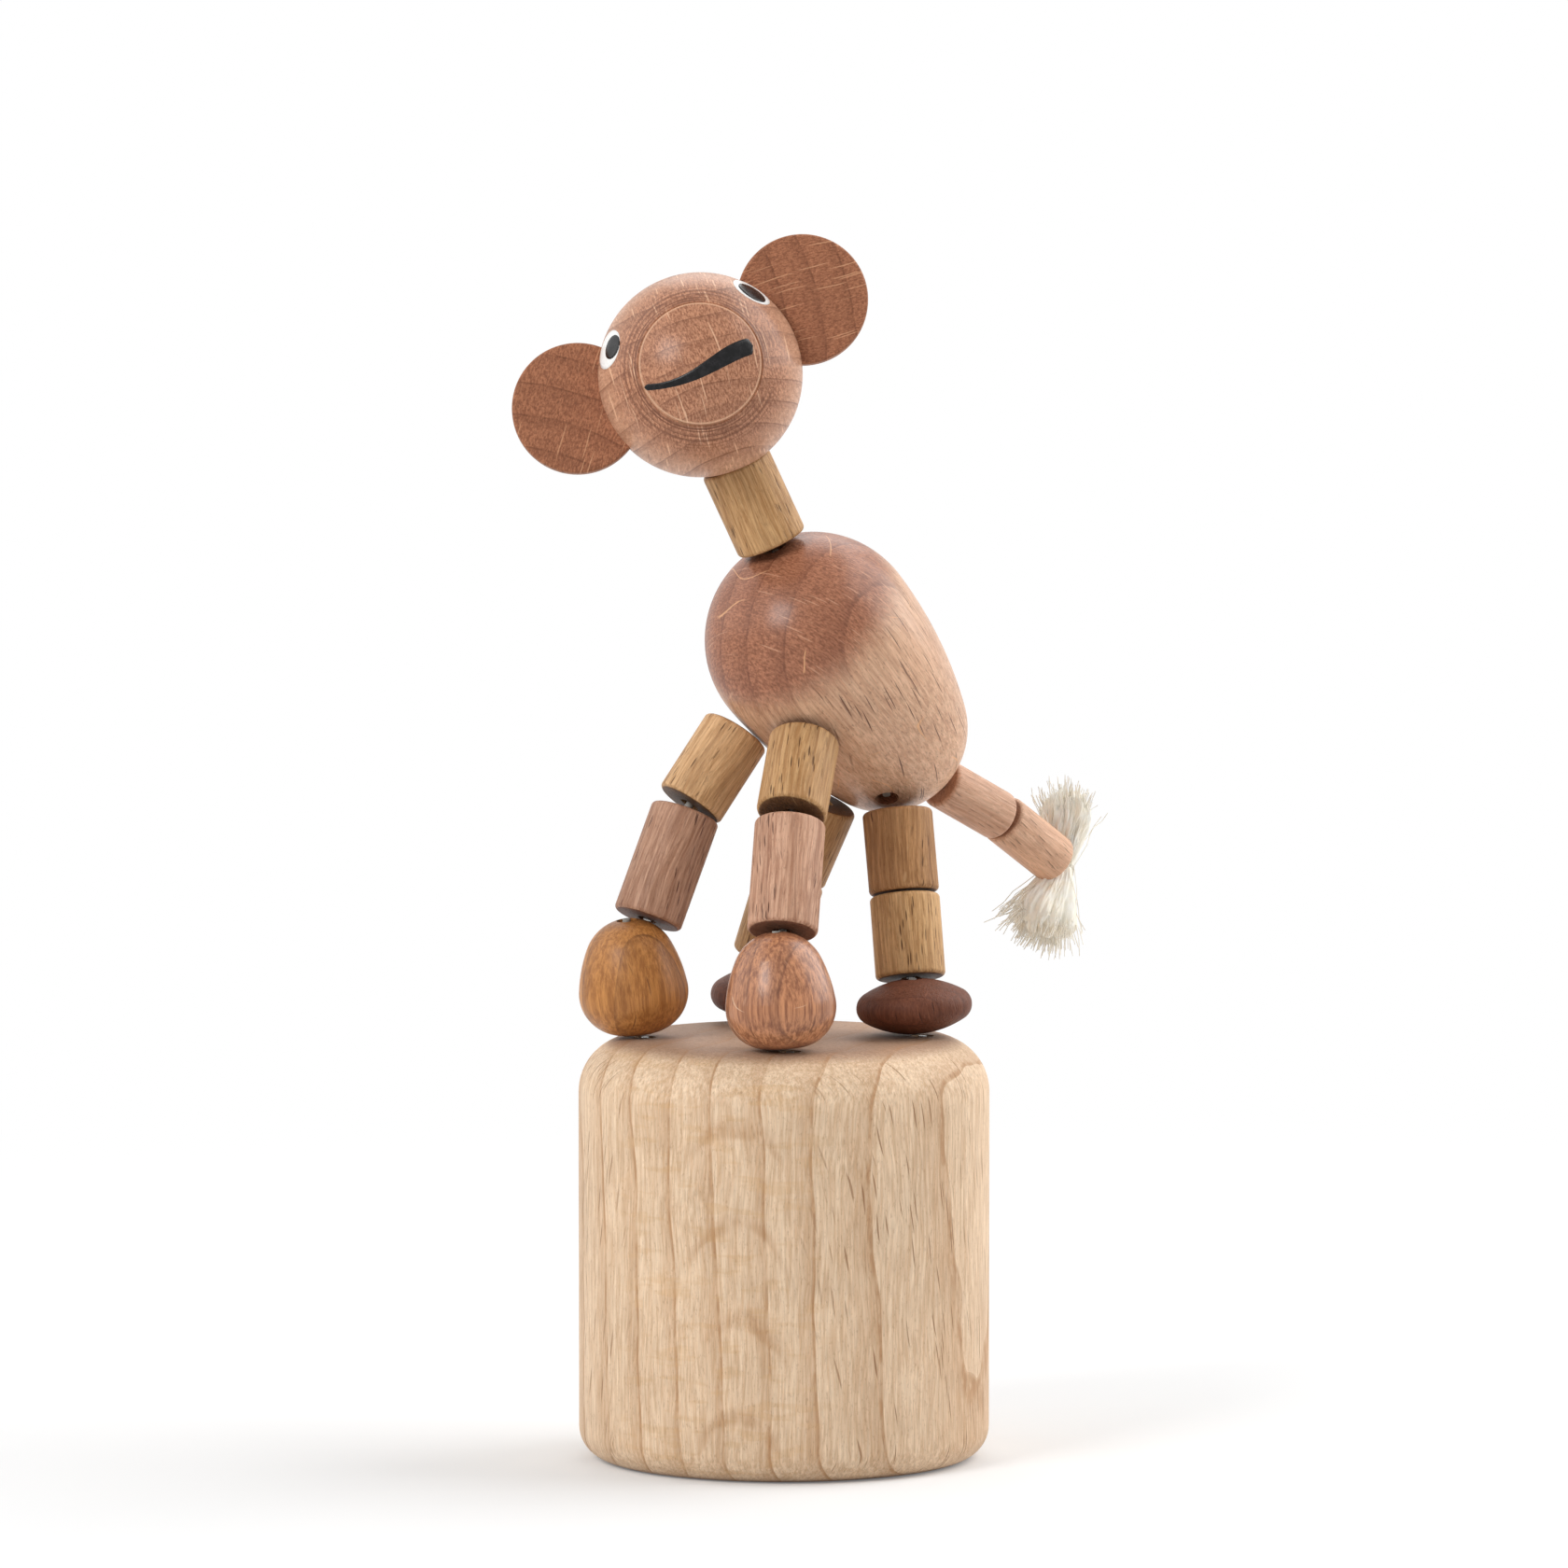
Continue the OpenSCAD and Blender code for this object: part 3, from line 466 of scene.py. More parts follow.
def woodFinish(name, changes):
    look = {**plainWood, **changes}
    material, tree, shader = newMaterial(name)
    ways = grainWays(look["grain"], look["rays"])
    place = grainPlaces(tree, look, ways)
    noise = grainNoises(tree, look, place)
    cut = cutShares(tree, look, place["normal"], ways)
    # short dark rays on flat-sawn wood, long pale ones on end grain
    values = {"Vector": place["grainy"], "Angle": math.radians(look["slant"])}
    tipped = addNode(tree, "ShaderNodeVectorRotate", values, rotation_type="Y_AXIS").outputs[0]
    dash = marks(tree, tipped, look["dashCell"], look["dashShare"], look["dashThin"])
    dash = times(tree, dash, times(tree, cut["sides"], cut["flat"]))
    ray = marks(tree, place["grainy"], look["rayCell"], look["rayShare"], look["rayThin"])
    # colour
    colour = grainColour(tree, look, noise, cut, growthRings(tree, look, place))
    if "fleck" in look:
        colour = addRipple(tree, look, place, cut, colour)
    if "arch" in look:
        colour = addArches(tree, look, place, cut, colour)
    pores = times(tree, fade(tree, noise["speck"], *woodMake["pore"]), look["pore"])
    colour = tint(tree, pores, colour, look["dashTone"])
    colour = tint(tree, times(tree, dash, look["dash"]), colour, look["dashTone"])
    colour = tint(tree, times(tree, ray, look["ray"]), colour, look["rayTone"])
    if "hairline" in look:
        colour = addHairlines(tree, look, place, colour)
    height = times(tree, noise["fibre"], woodMake["fibreHeight"])
    height = plus(tree, height, times(tree, noise["hair"], woodMake["hairHeight"]))
    if "turned" in look:
        colour, height = addTurning(tree, look, place, colour, height)
    cloud = grainNoise(tree, place["other"], look["cloud"])
    cloud = times(tree, minus(tree, cloud, 0.5), 4 * look["blotch"])
    fuzz = times(tree, minus(tree, noise["hair"], 0.5), 2 * look["hair"])
    colour = scaled(tree, colour, plus(tree, 1.0, plus(tree, cloud, fuzz)))
    # surface
    height = minus(tree, height, times(tree, dash, woodMake["dashDepth"]))
    height = plus(tree, height, times(tree, noise["speck"], woodMake["speckHeight"]))
    values = {"Height": height, "Strength": look["relief"], "Distance": woodMake["bumpDepth"]}
    bump = addNode(tree, "ShaderNodeBump", values).outputs[0]
    swing = woodMake["roughSwing"]
    rough = plus(tree, look["rough"] - swing / 2, times(tree, noise["speck"], swing))
    tree.links.new(colour, shader.inputs["Base Color"])
    tree.links.new(rough, shader.inputs["Roughness"])
    tree.links.new(bump, shader.inputs["Normal"])
    shader.inputs["Specular IOR Level"].default_value = look["gloss"]
    shader.inputs["Coat Weight"].default_value = look["coat"]
    shader.inputs["Coat Roughness"].default_value = look["coatRough"]
    return material


def lineOf(node):  # middle and direction of a straight rod
    points = np.array([v.co for v in nodes[node].data.vertices], float)
    middle = (points.min(0) + points.max(0)) / 2
    axis = np.linalg.svd(points - points.mean(0), full_matrices=False)[2][0]
    return Vector(middle), Vector(axis if axis[2] > 0 else -axis)


toCamera = sideways(photoView["azimuth"])
toRight = Vector((-toCamera.y, toCamera.x, 0))

# base and button: pale beech, grain upright, the rings of the base facing right
ringTurn = math.radians(70)
baseLook = {
    "middle": (0, 0, 0.023), "grain": (0, 0, 1),
    "rays": toRight * math.sin(ringTurn) + toCamera * math.cos(ringTurn),
    "fibre": 0.75, "hair": 0.22, "seed": 1.0,
    "fleck": {
        "share": 0.3, "tone": stain(204, 162, 112),
        "noise": ((0.2, 0.2, 0.8), 2.0, 0.55), "range": (0.52, 0.66),
    },
    "arch": {
        "across": (-math.cos(ringTurn), math.sin(ringTurn), 0), "middle": -5.1, "half": 6.2,
        "bow": 0.16, "space": 10.6, "start": 5.6, "shift": 3.4, "shiftSize": 0.17,
        "on": (0.08, 0.17), "off": (0.19, 0.36), "share": 0.40,
        "patchNoise": ((0.6, 0.6, 0.2), 3.0, 0.6), "patch": (0.32, 0.58),
    },
}
dress(nodes["base"], woodFinish("paleBeech", baseLook))
buttonLook = {
    "middle": (0, 0, 0.01), "grain": (0, 0, 1), "rays": (1, 0.4, 0),
    "ringSpace": 3.6, "rough": 0.46, "gloss": 0.4, "seed": 3.0,
}
dress(nodes["push_button"], woodFinish("handledBeech", buttonLook))

# stained beads; a few are darker or lighter copies that paint shade and light
tanStain = {
    "light": stain(208, 166, 118), "dark": stain(162, 118, 74),
    "endLight": stain(112, 76, 50), "endDark": stain(72, 46, 30), "endShare": 0.92,
    "ringTone": stain(128, 86, 46), "ring": 0.4, "endRing": 0.3,
    "ringSpace": 3.1, "heart": 30.0, "lean": 0.05,
    "dashTone": stain(84, 52, 24), "dash": 0.9,
    "dashCell": (0.27, 5.0, 3.2), "dashShare": 0.9, "slant": 3.0,
    "rayTone": stain(226, 188, 140), "ray": 0.22, "rayCell": (0.30, 5.0, 3.0), "rayShare": 0.6,
    "fibre": 0.85, "hair": 0.26, "rough": 0.46, "relief": 0.9,
}
pinkStain = {
    "light": stain(216, 172, 144), "dark": stain(166, 120, 94),
    "endLight": stain(124, 84, 64), "endDark": stain(86, 54, 42), "endShare": 0.9,
    "ringTone": stain(122, 78, 56), "ring": 0.45, "endRing": 0.3,
    "ringSpace": 2.8, "heart": 30.0, "lean": 0.05,
    "dashTone": stain(80, 46, 33), "dash": 0.95,
    "dashCell": (0.27, 5.0, 3.6), "dashShare": 1.0, "slant": 4.0,
    "rayTone": stain(228, 188, 160), "ray": 0.16, "rayCell": (0.30, 5.0, 3.0), "rayShare": 0.6,
    "fibre": 0.85, "hair": 0.26, "rough": 0.46, "relief": 0.9,
}
amberStain = {
    "light": stain(200, 138, 76), "dark": stain(152, 96, 46),
    "endLight": stain(150, 98, 56), "endDark": stain(116, 72, 40), "endShare": 0.6,
    "ringTone": stain(86, 46, 20), "ring": 0.6, "endRing": 0.4,
    "ringSpace": 4.4, "heart": 9.0, "lean": 0.16, "start": 0.55,
    "dashTone": stain(88, 48, 22), "dash": 0.6,
    "dashCell": (0.34, 6.0, 5.0), "dashShare": 0.25, "slant": 5.0,
    "rayTone": stain(208, 152, 96), "ray": 0.2, "rayCell": (0.34, 5.0, 3.0),
    "fibre": 0.9, "fibreLong": 0.06, "hair": 0.14, "pore": 0.12,
    "rough": 0.44, "coat": 0.3, "coatRough": 0.36,
}
rustStain = {
    "light": stain(202, 140, 99), "dark": stain(130, 78, 51),
    "endLight": stain(150, 96, 70), "endDark": stain(116, 72, 52), "endShare": 0.6,
    "ringTone": stain(88, 48, 32), "ring": 0.55, "endRing": 0.4, "ringSpace": 3.6, "heart": 14.0,
    "dashTone": stain(84, 44, 28), "dash": 0.6,
    "dashCell": (0.34, 6.0, 5.0), "dashShare": 0.3, "slant": 3.0,
    "rayTone": stain(214, 162, 128), "ray": 0.3, "rayCell": (0.34, 5.0, 3.0),
    "fibre": 0.95, "fibreLong": 0.06, "hair": 0.14, "pore": 0.12,
    "rough": 0.44, "coat": 0.6, "coatRough": 0.26,
    "hairline": {"share": 0.7, "size": 0.16, "tone": stain(226, 188, 156)},
}
darkStain = {
    "light": stain(124, 76, 56), "dark": stain(90, 51, 36),
    "endLight": stain(118, 72, 53), "endDark": stain(80, 46, 33), "endShare": 0.6,
    "ringTone": stain(66, 37, 26), "ring": 0.45, "endRing": 0.3, "ringSpace": 2.6, "heart": 20.0,
    "dashTone": stain(54, 29, 20), "dash": 0.6, "dashCell": (0.34, 5.0, 3.0), "dashShare": 0.4,
    "rayTone": stain(148, 98, 74), "ray": 0.35, "rayCell": (0.34, 5.0, 3.0),
    "hair": 0.24, "pore": 0.3, "rough": 0.52, "relief": 0.8,
}
paleStain = {
    **pinkStain, "light": stain(224, 182, 154), "dark": stain(194, 148, 120),
    "endLight": stain(200, 154, 126), "endDark": stain(166, 122, 98), "ring": 0.25, "dash": 0.4,
}
lightStain = {**tanStain, "light": stain(224, 182, 136), "dark": stain(180, 136, 92)}
# painted shade: a darker copy of the tan stain for the left upper leg, which sits in the shadow of
# the body
paintedShadeTan = {**tanStain, "light": stain(190, 143, 98), "dark": stain(142, 99, 61)}
warmStain = {**tanStain, "light": stain(220, 177, 127), "dark": stain(174, 129, 83)}
# painted light: a lighter copy of the pale stain for the tail tip, which is lit from the right and
# behind
paintedLightPale = {**paleStain, "light": stain(234, 192, 162), "dark": stain(206, 160, 130)}
# painted shade: a darker copy of the pink stain for the right forearm
paintedShadePink = {**pinkStain, "light": stain(196, 154, 128), "dark": stain(150, 108, 84)}
beadStains = {
    "left_hand": rustStain, "left_forearm": pinkStain, "left_upper_arm": tanStain,
    "right_hand": amberStain, "right_forearm": paintedShadePink, "right_upper_arm": lightStain,
    "left_foot": darkStain, "left_lower_leg": warmStain, "left_upper_leg": paintedShadeTan,
    "right_foot": darkStain, "right_lower_leg": tanStain, "right_upper_leg": tanStain,
    "neck": tanStain, "tail_root": paleStain, "tail_tip": paintedLightPale,
}
beadCut = {"firstSeed": 4.0, "firstSpin": 20, "spinStep": 47, "tip": 0.1}  # spins in degrees
for count, (node, look) in enumerate(beadStains.items()):
    middle, axis = lineOf(node + "_string")
    spin = math.radians(beadCut["spinStep"] * count + beadCut["firstSpin"])
    changes = {
        **look, "middle": middle, "grain": axis, "seed": beadCut["firstSeed"] + count,
        "rays": (math.cos(spin), math.sin(spin), beadCut["tip"]),
    }
    dress(nodes[node], woodFinish(node + "Wood", changes))
print("beads stained:", len(beadStains))

# body: the chest shows end grain, the flank long grain with dark rays; the flank's pale tone is
# partly painted light from the right
bodyLook = {
    "middle": (-0.001461, 0.012107, 0.084204), "grain": (-0.0256, -0.7341, 0.6785),
    "rays": 0.75 * toRight + 0.66 * toCamera,
    "light": stain(228, 186, 153), "dark": stain(192, 146, 115),
    "endLight": stain(176, 116, 86), "endDark": stain(126, 74, 50),
    "endFrom": 0.0, "endFull": 0.42, "endShare": 0.95, "rearEnd": 0.0,
    "ringTone": stain(106, 60, 42), "ring": 0.12, "endRing": 0.65,
    "ringSpace": 4.2, "heart": 60.0, "lean": 0.03,
    "dashTone": stain(104, 62, 42), "dash": 0.85,
    "dashCell": (0.34, 9.0, 9.0), "dashShare": 1.0, "slant": 5.0,
    "rayTone": stain(214, 162, 130), "ray": 0.5, "rayCell": (0.36, 9.0, 4.0), "rayShare": 0.6,
    "fibre": 0.8, "hair": 0.28, "pore": 0.42, "wander": 0.5,
    "rough": 0.5, "gloss": 0.12, "coat": 0.46, "coatRough": 0.26,
    "hairline": {"share": 0.8, "size": 0.10, "tone": stain(226, 172, 126)}, "seed": 30.0,
}
dress(nodes["body"], woodFinish("chestnutBody", bodyLook))

# head and ears: cut so that the face shows end grain; middle in metres, sizes in millimetres
headLook = {
    "middle": (-0.005813, -0.007145, 0.118777), "turn": 43.0, "nod": 10.0, "roll": 26.0,
    "radius": 11.15, "muzzle": 6.6, "muzzleLift": 0.4, "raySkew": 0.16,
    "light": stain(222, 174, 144), "dark": stain(174, 126, 98),
    "endLight": stain(204, 146, 112), "endDark": stain(136, 84, 58),
    "endFrom": 0.25, "endFull": 0.7, "endShare": 0.9,
    "ringTone": stain(110, 66, 46), "ring": 0.6, "endRing": 0.6,
    "ringSpace": 2.5, "heart": 26.0, "lean": 0.1,
    "dashTone": stain(116, 74, 54), "dash": 0.3, "slant": 0.0,
    "rayTone": stain(232, 186, 152), "ray": 0.8, "rayCell": (0.40, 11.0, 5.0), "rayShare": 0.8,
    "pore": 0.4, "hair": 0.22, "wander": 0.8,
    "rough": 0.5, "gloss": 0.12, "coat": 0.38, "coatRough": 0.26,
    "turned": 0.8, "ringLine": 6.6, "seed": 41.0,
}
nod, turn, roll = (math.radians(headLook[key]) for key in ("nod", "turn", "roll"))
headTurn = Euler((-nod, 0, turn), "XYZ").to_matrix() @ Matrix.Rotation(-roll, 3, "Y")
headCentre = Vector(headLook["middle"])
faceWay = headTurn @ Vector((0, -1, 0))
crownWay = headTurn @ Vector((0, 0, 1))
sideWay = headTurn @ Vector((1, 0, 0))
headRays = crownWay + headLook["raySkew"] * sideWay
headWood = woodFinish("chestnutHead", {**headLook, "grain": faceWay, "rays": headRays})
dress(nodes["head"], headWood)

earLook = {
    "light": stain(176, 120, 88), "dark": stain(144, 94, 66),
    "endLight": stain(180, 120, 88), "endDark": stain(132, 82, 58),
    "endFrom": 0.5, "endFull": 0.8, "endShare": 0.95,
    "ringTone": stain(108, 64, 44), "ring": 0.4, "endRing": 0.65, "ringSpace": 3.6, "heart": 30.0,
    "dashTone": stain(110, 68, 46), "dash": 0.3, "slant": 0.0,
    "rayTone": stain(214, 160, 122), "ray": 0.65, "rayCell": (0.34, 10.0, 5.0), "rayShare": 1.0,
    "pore": 0.4, "hair": 0.24, "wander": 0.8, "rough": 0.5, "relief": 0.8,
}
earCuts = {
    "left_ear": {"rays": 0.98 * sideWay - 0.19 * crownWay, "seed": 50.0},
    "right_ear": {"rays": 0.73 * crownWay + 0.68 * sideWay, "seed": 51.0},
}
for node, earCut in earCuts.items():
    low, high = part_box(node)
    middle = (Vector(low) + Vector(high)) / 2
    changes = {**earLook, **earCut, "middle": middle, "grain": faceWay}
    dress(nodes[node], woodFinish(node + "Wood", changes))
print("body, head and ears stained")

# painted eyes and smile, laid on the curve of the head
paintLook = {
    "spots": (1400.0, 3.0, 0.6), "spotRange": (0.35, 0.7), "roughSwing": 0.2,
    "relief": 0.3, "bumpDepth": 0.00006,
}
whiteLook = {
    "tone": stain(252, 251, 249), "shade": stain(240, 238, 234), "rough": 0.34, "gloss": 0.4,
}
blackLook = {"tone": stain(9, 9, 10), "shade": stain(32, 30, 32), "rough": 0.26, "gloss": 0.25}


def paintFinish(name, changes):
    look = {**paintLook, **changes}
    material, tree, shader = newMaterial(name)
    brush = mottle(tree, shader, objectPlace(tree), look)
    values = {"Height": brush, "Strength": look["relief"], "Distance": look["bumpDepth"]}
    tree.links.new(addNode(tree, "ShaderNodeBump", values).outputs[0], shader.inputs["Normal"])
    shader.inputs["Specular IOR Level"].default_value = look["gloss"]
    return material


whitePaint = paintFinish("whitePaint", whiteLook)
blackPaint = paintFinish("blackPaint", blackLook)

# clock is the angle round the face, out the angle from its middle; sizes are half spans on the wood
eyeMarks = {
    "eyeWhiteRight": {
        "clock": 141.5, "out": 67.0, "across": 2.6, "tall": 2.2, "lift": 0.05, "paint": whitePaint,
    },
    "eyePupilRight": {
        "clock": 140.2, "out": 61.5, "across": 1.5, "tall": 1.36, "lift": 0.10, "paint": blackPaint,
    },
    "eyeWhiteLeft": {
        "clock": 30.7, "out": 68.0, "across": 2.5, "tall": 2.3, "lift": 0.05, "paint": whitePaint,
    },
    "eyePupilLeft": {
        "clock": 30.0, "out": 65.0, "across": 1.6, "tall": 1.7, "lift": 0.10, "paint": blackPaint,
    },
}
paintEdge = {"sunk": 0.04, "thinning": 0.35, "power": 6}  # the rim dips into the wood
spotMesh = {"rings": 7, "steps": 40}


def headPoint(spot):  # from the head's own frame, in millimetres, to the scene
    return headCentre + headTurn @ spot * millimetre


def paintSpot(name, mark):
    clock, out = math.radians(mark["clock"]), math.radians(mark["out"])
    outWay = Vector((math.cos(clock), 0, math.sin(clock)))
    mid = Vector((0, -math.cos(out), 0)) + outWay * math.sin(out)
    u = Vector((0, math.sin(out), 0)) + outWay * math.cos(out)
    v = mid.cross(u)
    radius, rings, steps = headLook["radius"], spotMesh["rings"], spotMesh["steps"]
    points = [headPoint(mid * (radius + mark["lift"]))]
    for k in range(1, rings + 1):
        lift = mark["lift"] if k < rings else -paintEdge["sunk"]
        lift -= paintEdge["thinning"] * mark["lift"] * (k / rings) ** paintEdge["power"]
        share = min(k / (rings - 1), 1.0)
        wide, tall = mark["across"] * share, mark["tall"] * share
        for s in range(steps):
            a = 2 * math.pi * s / steps
            step = u * (wide * math.cos(a)) + v * (tall * math.sin(a))
            bow = step.length / radius
            way = mid * math.cos(bow) + step.normalized() * math.sin(bow)
            points.append(headPoint(way * (radius + lift)))
    faces = [(0, 1 + s, 1 + (s + 1) % steps) for s in range(steps)]
    for k in range(rings - 1):
        a, b = 1 + k * steps, 1 + (k + 1) * steps
        faces += [(a + s, b + s, b + (s + 1) % steps, a + (s + 1) % steps) for s in range(steps)]
    spot = meshPiece(name, points, faces, mark["paint"])
    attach(spot, "head")


for name, mark in eyeMarks.items():
    paintSpot(name, mark)

# path and half width of the brush stroke in millimetres, seen straight on
smileLook = {
    "path": [(-6.55, 0.30), (-3.5, -0.86), (-0.35, -1.06), (2.75, -0.76), (5.9, -0.80)],
    "half": [0.36, 0.42, 0.70, 0.96, 0.97], "pathDegree": 4, "halfDegree": 3,
    "lift": 0.12, "tip": 0.035, "leastHalf": 0.02, "steps": 64, "cross": 10,
}


def paintSmile(look):
    steps, cross = look["steps"], look["cross"]
    spans = np.linspace(0, 1, len(look["path"]))
    where = np.linspace(0, 1, steps + 1)

    def through(values, degree):  # a smooth curve near the given values
        return np.polyval(np.polyfit(spans, values, degree), where)

    curveX = through([p[0] for p in look["path"]], look["pathDegree"])
    curveZ = through([p[1] for p in look["path"]], look["pathDegree"])
    half = through(look["half"], look["halfDegree"])
    tip = np.clip(np.minimum(where, 1 - where) / look["tip"], 0, 1)  # rounded ends
    half = half * np.sqrt(1 - (1 - tip) ** 2) + look["leastHalf"]
    slopeX, slopeZ = np.gradient(curveX), np.gradient(curveZ)
    points = []
    for k in range(steps + 1):
        slope = math.hypot(slopeX[k], slopeZ[k])
        for c in range(cross + 1):
            across = 2 * c / cross - 1
            x = curveX[k] - slopeZ[k] / slope * half[k] * across
            z = curveZ[k] + slopeX[k] / slope * half[k] * across
            y = -math.sqrt(headLook["radius"] ** 2 - x * x - z * z)
            if math.hypot(x, z) < headLook["muzzle"]:
                y -= headLook["muzzleLift"]
            lift = look["lift"] * (1 - across ** paintEdge["power"]) - paintEdge["sunk"]
            way = Vector((x, y, z))
            points.append(headPoint(way + way.normalized() * lift))
    faces = []
    for k in range(steps):
        for c in range(cross):
            a = k * (cross + 1) + c
            faces.append((a, a + cross + 1, a + cross + 2, a + 1))
    smile = meshPiece("smile", points, faces, blackPaint)
    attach(smile, "head")


paintSmile(smileLook)
print("face painted")

# nylon line and spring wire
lineLook = {
    "tone": stain(206, 202, 194), "shade": stain(178, 173, 165),
    "spots": (900.0, 2.0), "spotRange": (0.3, 0.7),
    "rough": 0.24, "roughSwing": 0.16, "clear": 0.3, "bending": 1.53,
}


def lineFinish(look):
    material, tree, shader = newMaterial("clearLine")
    mottle(tree, shader, objectPlace(tree), look)
    shader.inputs["Transmission Weight"].default_value = look["clear"]
    shader.inputs["IOR"].default_value = look["bending"]
    return material


clearLine = lineFinish(lineLook)
for node in nodes:
    if "string" in node:
        dress(nodes[node], clearLine)

wireLook = {
    "tone": (0.62, 0.62, 0.64, 1), "shade": (0.42, 0.42, 0.44, 1),
    "spots": (2200.0, 3.0), "spotRange": (0.35, 0.7), "drawn": (1, 1, 3),
    "rough": 0.3, "roughSwing": 0.2,
}


def wireFinish(look):
    material, tree, shader = newMaterial("springWire")
    mottle(tree, shader, stretch(tree, objectPlace(tree), look["drawn"]), look)
    shader.inputs["Metallic"].default_value = 1.0
    return material


def newTree(name, kinds):  # a geometry node tree with named inputs
    tree = bpy.data.node_groups.new(name, "GeometryNodeTree")
    for label, kind in kinds.items():
        tree.interface.new_socket(label, in_out="INPUT", socket_type="NodeSocket" + kind)
    tree.interface.new_socket("Geometry", in_out="OUTPUT", socket_type="NodeSocketGeometry")
    return tree, tree.nodes.new("NodeGroupInput").outputs, tree.nodes.new("NodeGroupOutput")


def growMesh(name, tree, values):  # runs a tree on an empty mesh and keeps the plain result
    holder = bpy.data.objects.new(name + "Holder", bpy.data.meshes.new(name + "Holder"))
    bpy.context.scene.collection.objects.link(holder)
    modifier = holder.modifiers.new(name, "NODES")
    modifier.node_group = tree
    for item in tree.interface.items_tree:
        if item.in_out == "INPUT" and item.name in values:
            modifier[item.identifier] = values[item.name]
    bpy.context.view_layer.update()
    seen = holder.evaluated_get(bpy.context.evaluated_depsgraph_get())
    mesh = bpy.data.meshes.new_from_object(seen)
    mesh.name = name
    bpy.data.objects.remove(holder)
    shadeMesh(mesh)
    return mesh


def tubeOf(tree, curve, sides, radius, finish, result):  # ends a tree with a solid tube on a curve
    values = {"Resolution": sides, "Radius": radius}
    profile = addNode(tree, "GeometryNodeCurvePrimitiveCircle", values).outputs[0]
    values = {"Curve": curve, "Profile Curve": profile, "Fill Caps": True}
    tube = addNode(tree, "GeometryNodeCurveToMesh", values).outputs[0]
    whole = addNode(tree, "GeometryNodeRealizeInstances", {"Geometry": tube}).outputs[0]
    values = {"Geometry": whole, "Material": finish}
    coated = addNode(tree, "GeometryNodeSetMaterial", values).outputs[0]
    tree.links.new(coated, result.inputs[0])


springLook = {
    "turns": 6.0, "radius": 0.0075, "wire": 0.00045, "low": 0.01455, "high": 0.03375,
    "travel": 0.009, "coilSteps": 48, "wireSides": 14,
}


def windSpring(look):
    kinds = {
        "Turns": "Float", "Radius": "Float", "Height": "Float", "Wire": "Float",
        "Finish": "Material",
    }
    tree, given, result = newTree("coilSpring", kinds)
    values = {
        "Resolution": look["coilSteps"], "Rotations": given["Turns"], "Height": given["Height"],
        "Start Radius": given["Radius"], "End Radius": given["Radius"],
    }
    coil = addNode(tree, "GeometryNodeCurveSpiral", values).outputs[0]
    tubeOf(tree, coil, look["wireSides"], given["Wire"], given["Finish"], result)
    finish = wireFinish(wireLook)
    values = {
        "Turns": look["turns"], "Radius": look["radius"], "Height": look["high"] - look["low"],
        "Wire": look["wire"], "Finish": finish,
    }
    mesh = growMesh("coilSpring", tree, values)
    mesh.transform(Matrix.Translation((0, 0, look["low"])))
    spring = layPiece("coilSpring", mesh, finish)
    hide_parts("return_spring")
    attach(spring, "base")
    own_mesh(spring)


windSpring(springLook)


def hangRisers():  # the lines between button and base top, as one piece carried by the base
    piece = layPiece("risingLines", nodes["string_risers"].data.copy(), clearLine)
    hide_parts("string_risers")
    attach(piece, "base")
    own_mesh(piece)


hangRisers()
print("spring wound and lines hung")

# tuft: two brushes of frayed cotton yarn tied across the end of the tail, in metres
tuftLook = {
    "tie": (0.002464, 0.043601, 0.062255),
    "halves": {
        "upper": {
            "way": (-0.2034, 0.3522, 0.9135), "strands": 650, "length": 0.0094, "spread": 0.46,
            "coreLong": 0.0083, "coreWide": 0.0033, "seed": 3,
        },
        "lower": {
            "way": (-0.0409, -0.4677, -0.8829), "strands": 650, "length": 0.0100, "spread": 0.58,
            "coreLong": 0.0084, "coreWide": 0.0043, "seed": 8,
        },
    },
    "waist": 0.0010, "curl": 0.0034, "thick": 0.000055, "strandSides": 3, "strandPoints": 7,
    "rootFlat": (1, 1, 0.6), "leastLean": (0.2, 0.2, 0), "shortest": 0.72,
    "waveSize": 260.0, "curlPower": 1.6,
    "tone": stain(255, 252, 243), "shade": stain(255, 247, 230),
    "spots": (700.0, 3.0), "spotRange": (0.3, 0.7),
    "rough": 0.85, "roughSwing": 0.2, "gloss": 0.15, "sheen": 0.25,
}


def yarnFinish(look):
    material, tree, shader = newMaterial("frayedCotton")
    mottle(tree, shader, objectPlace(tree), look)
    shader.inputs["Specular IOR Level"].default_value = look["gloss"]
    shader.inputs["Sheen Weight"].default_value = look["sheen"]
    return material


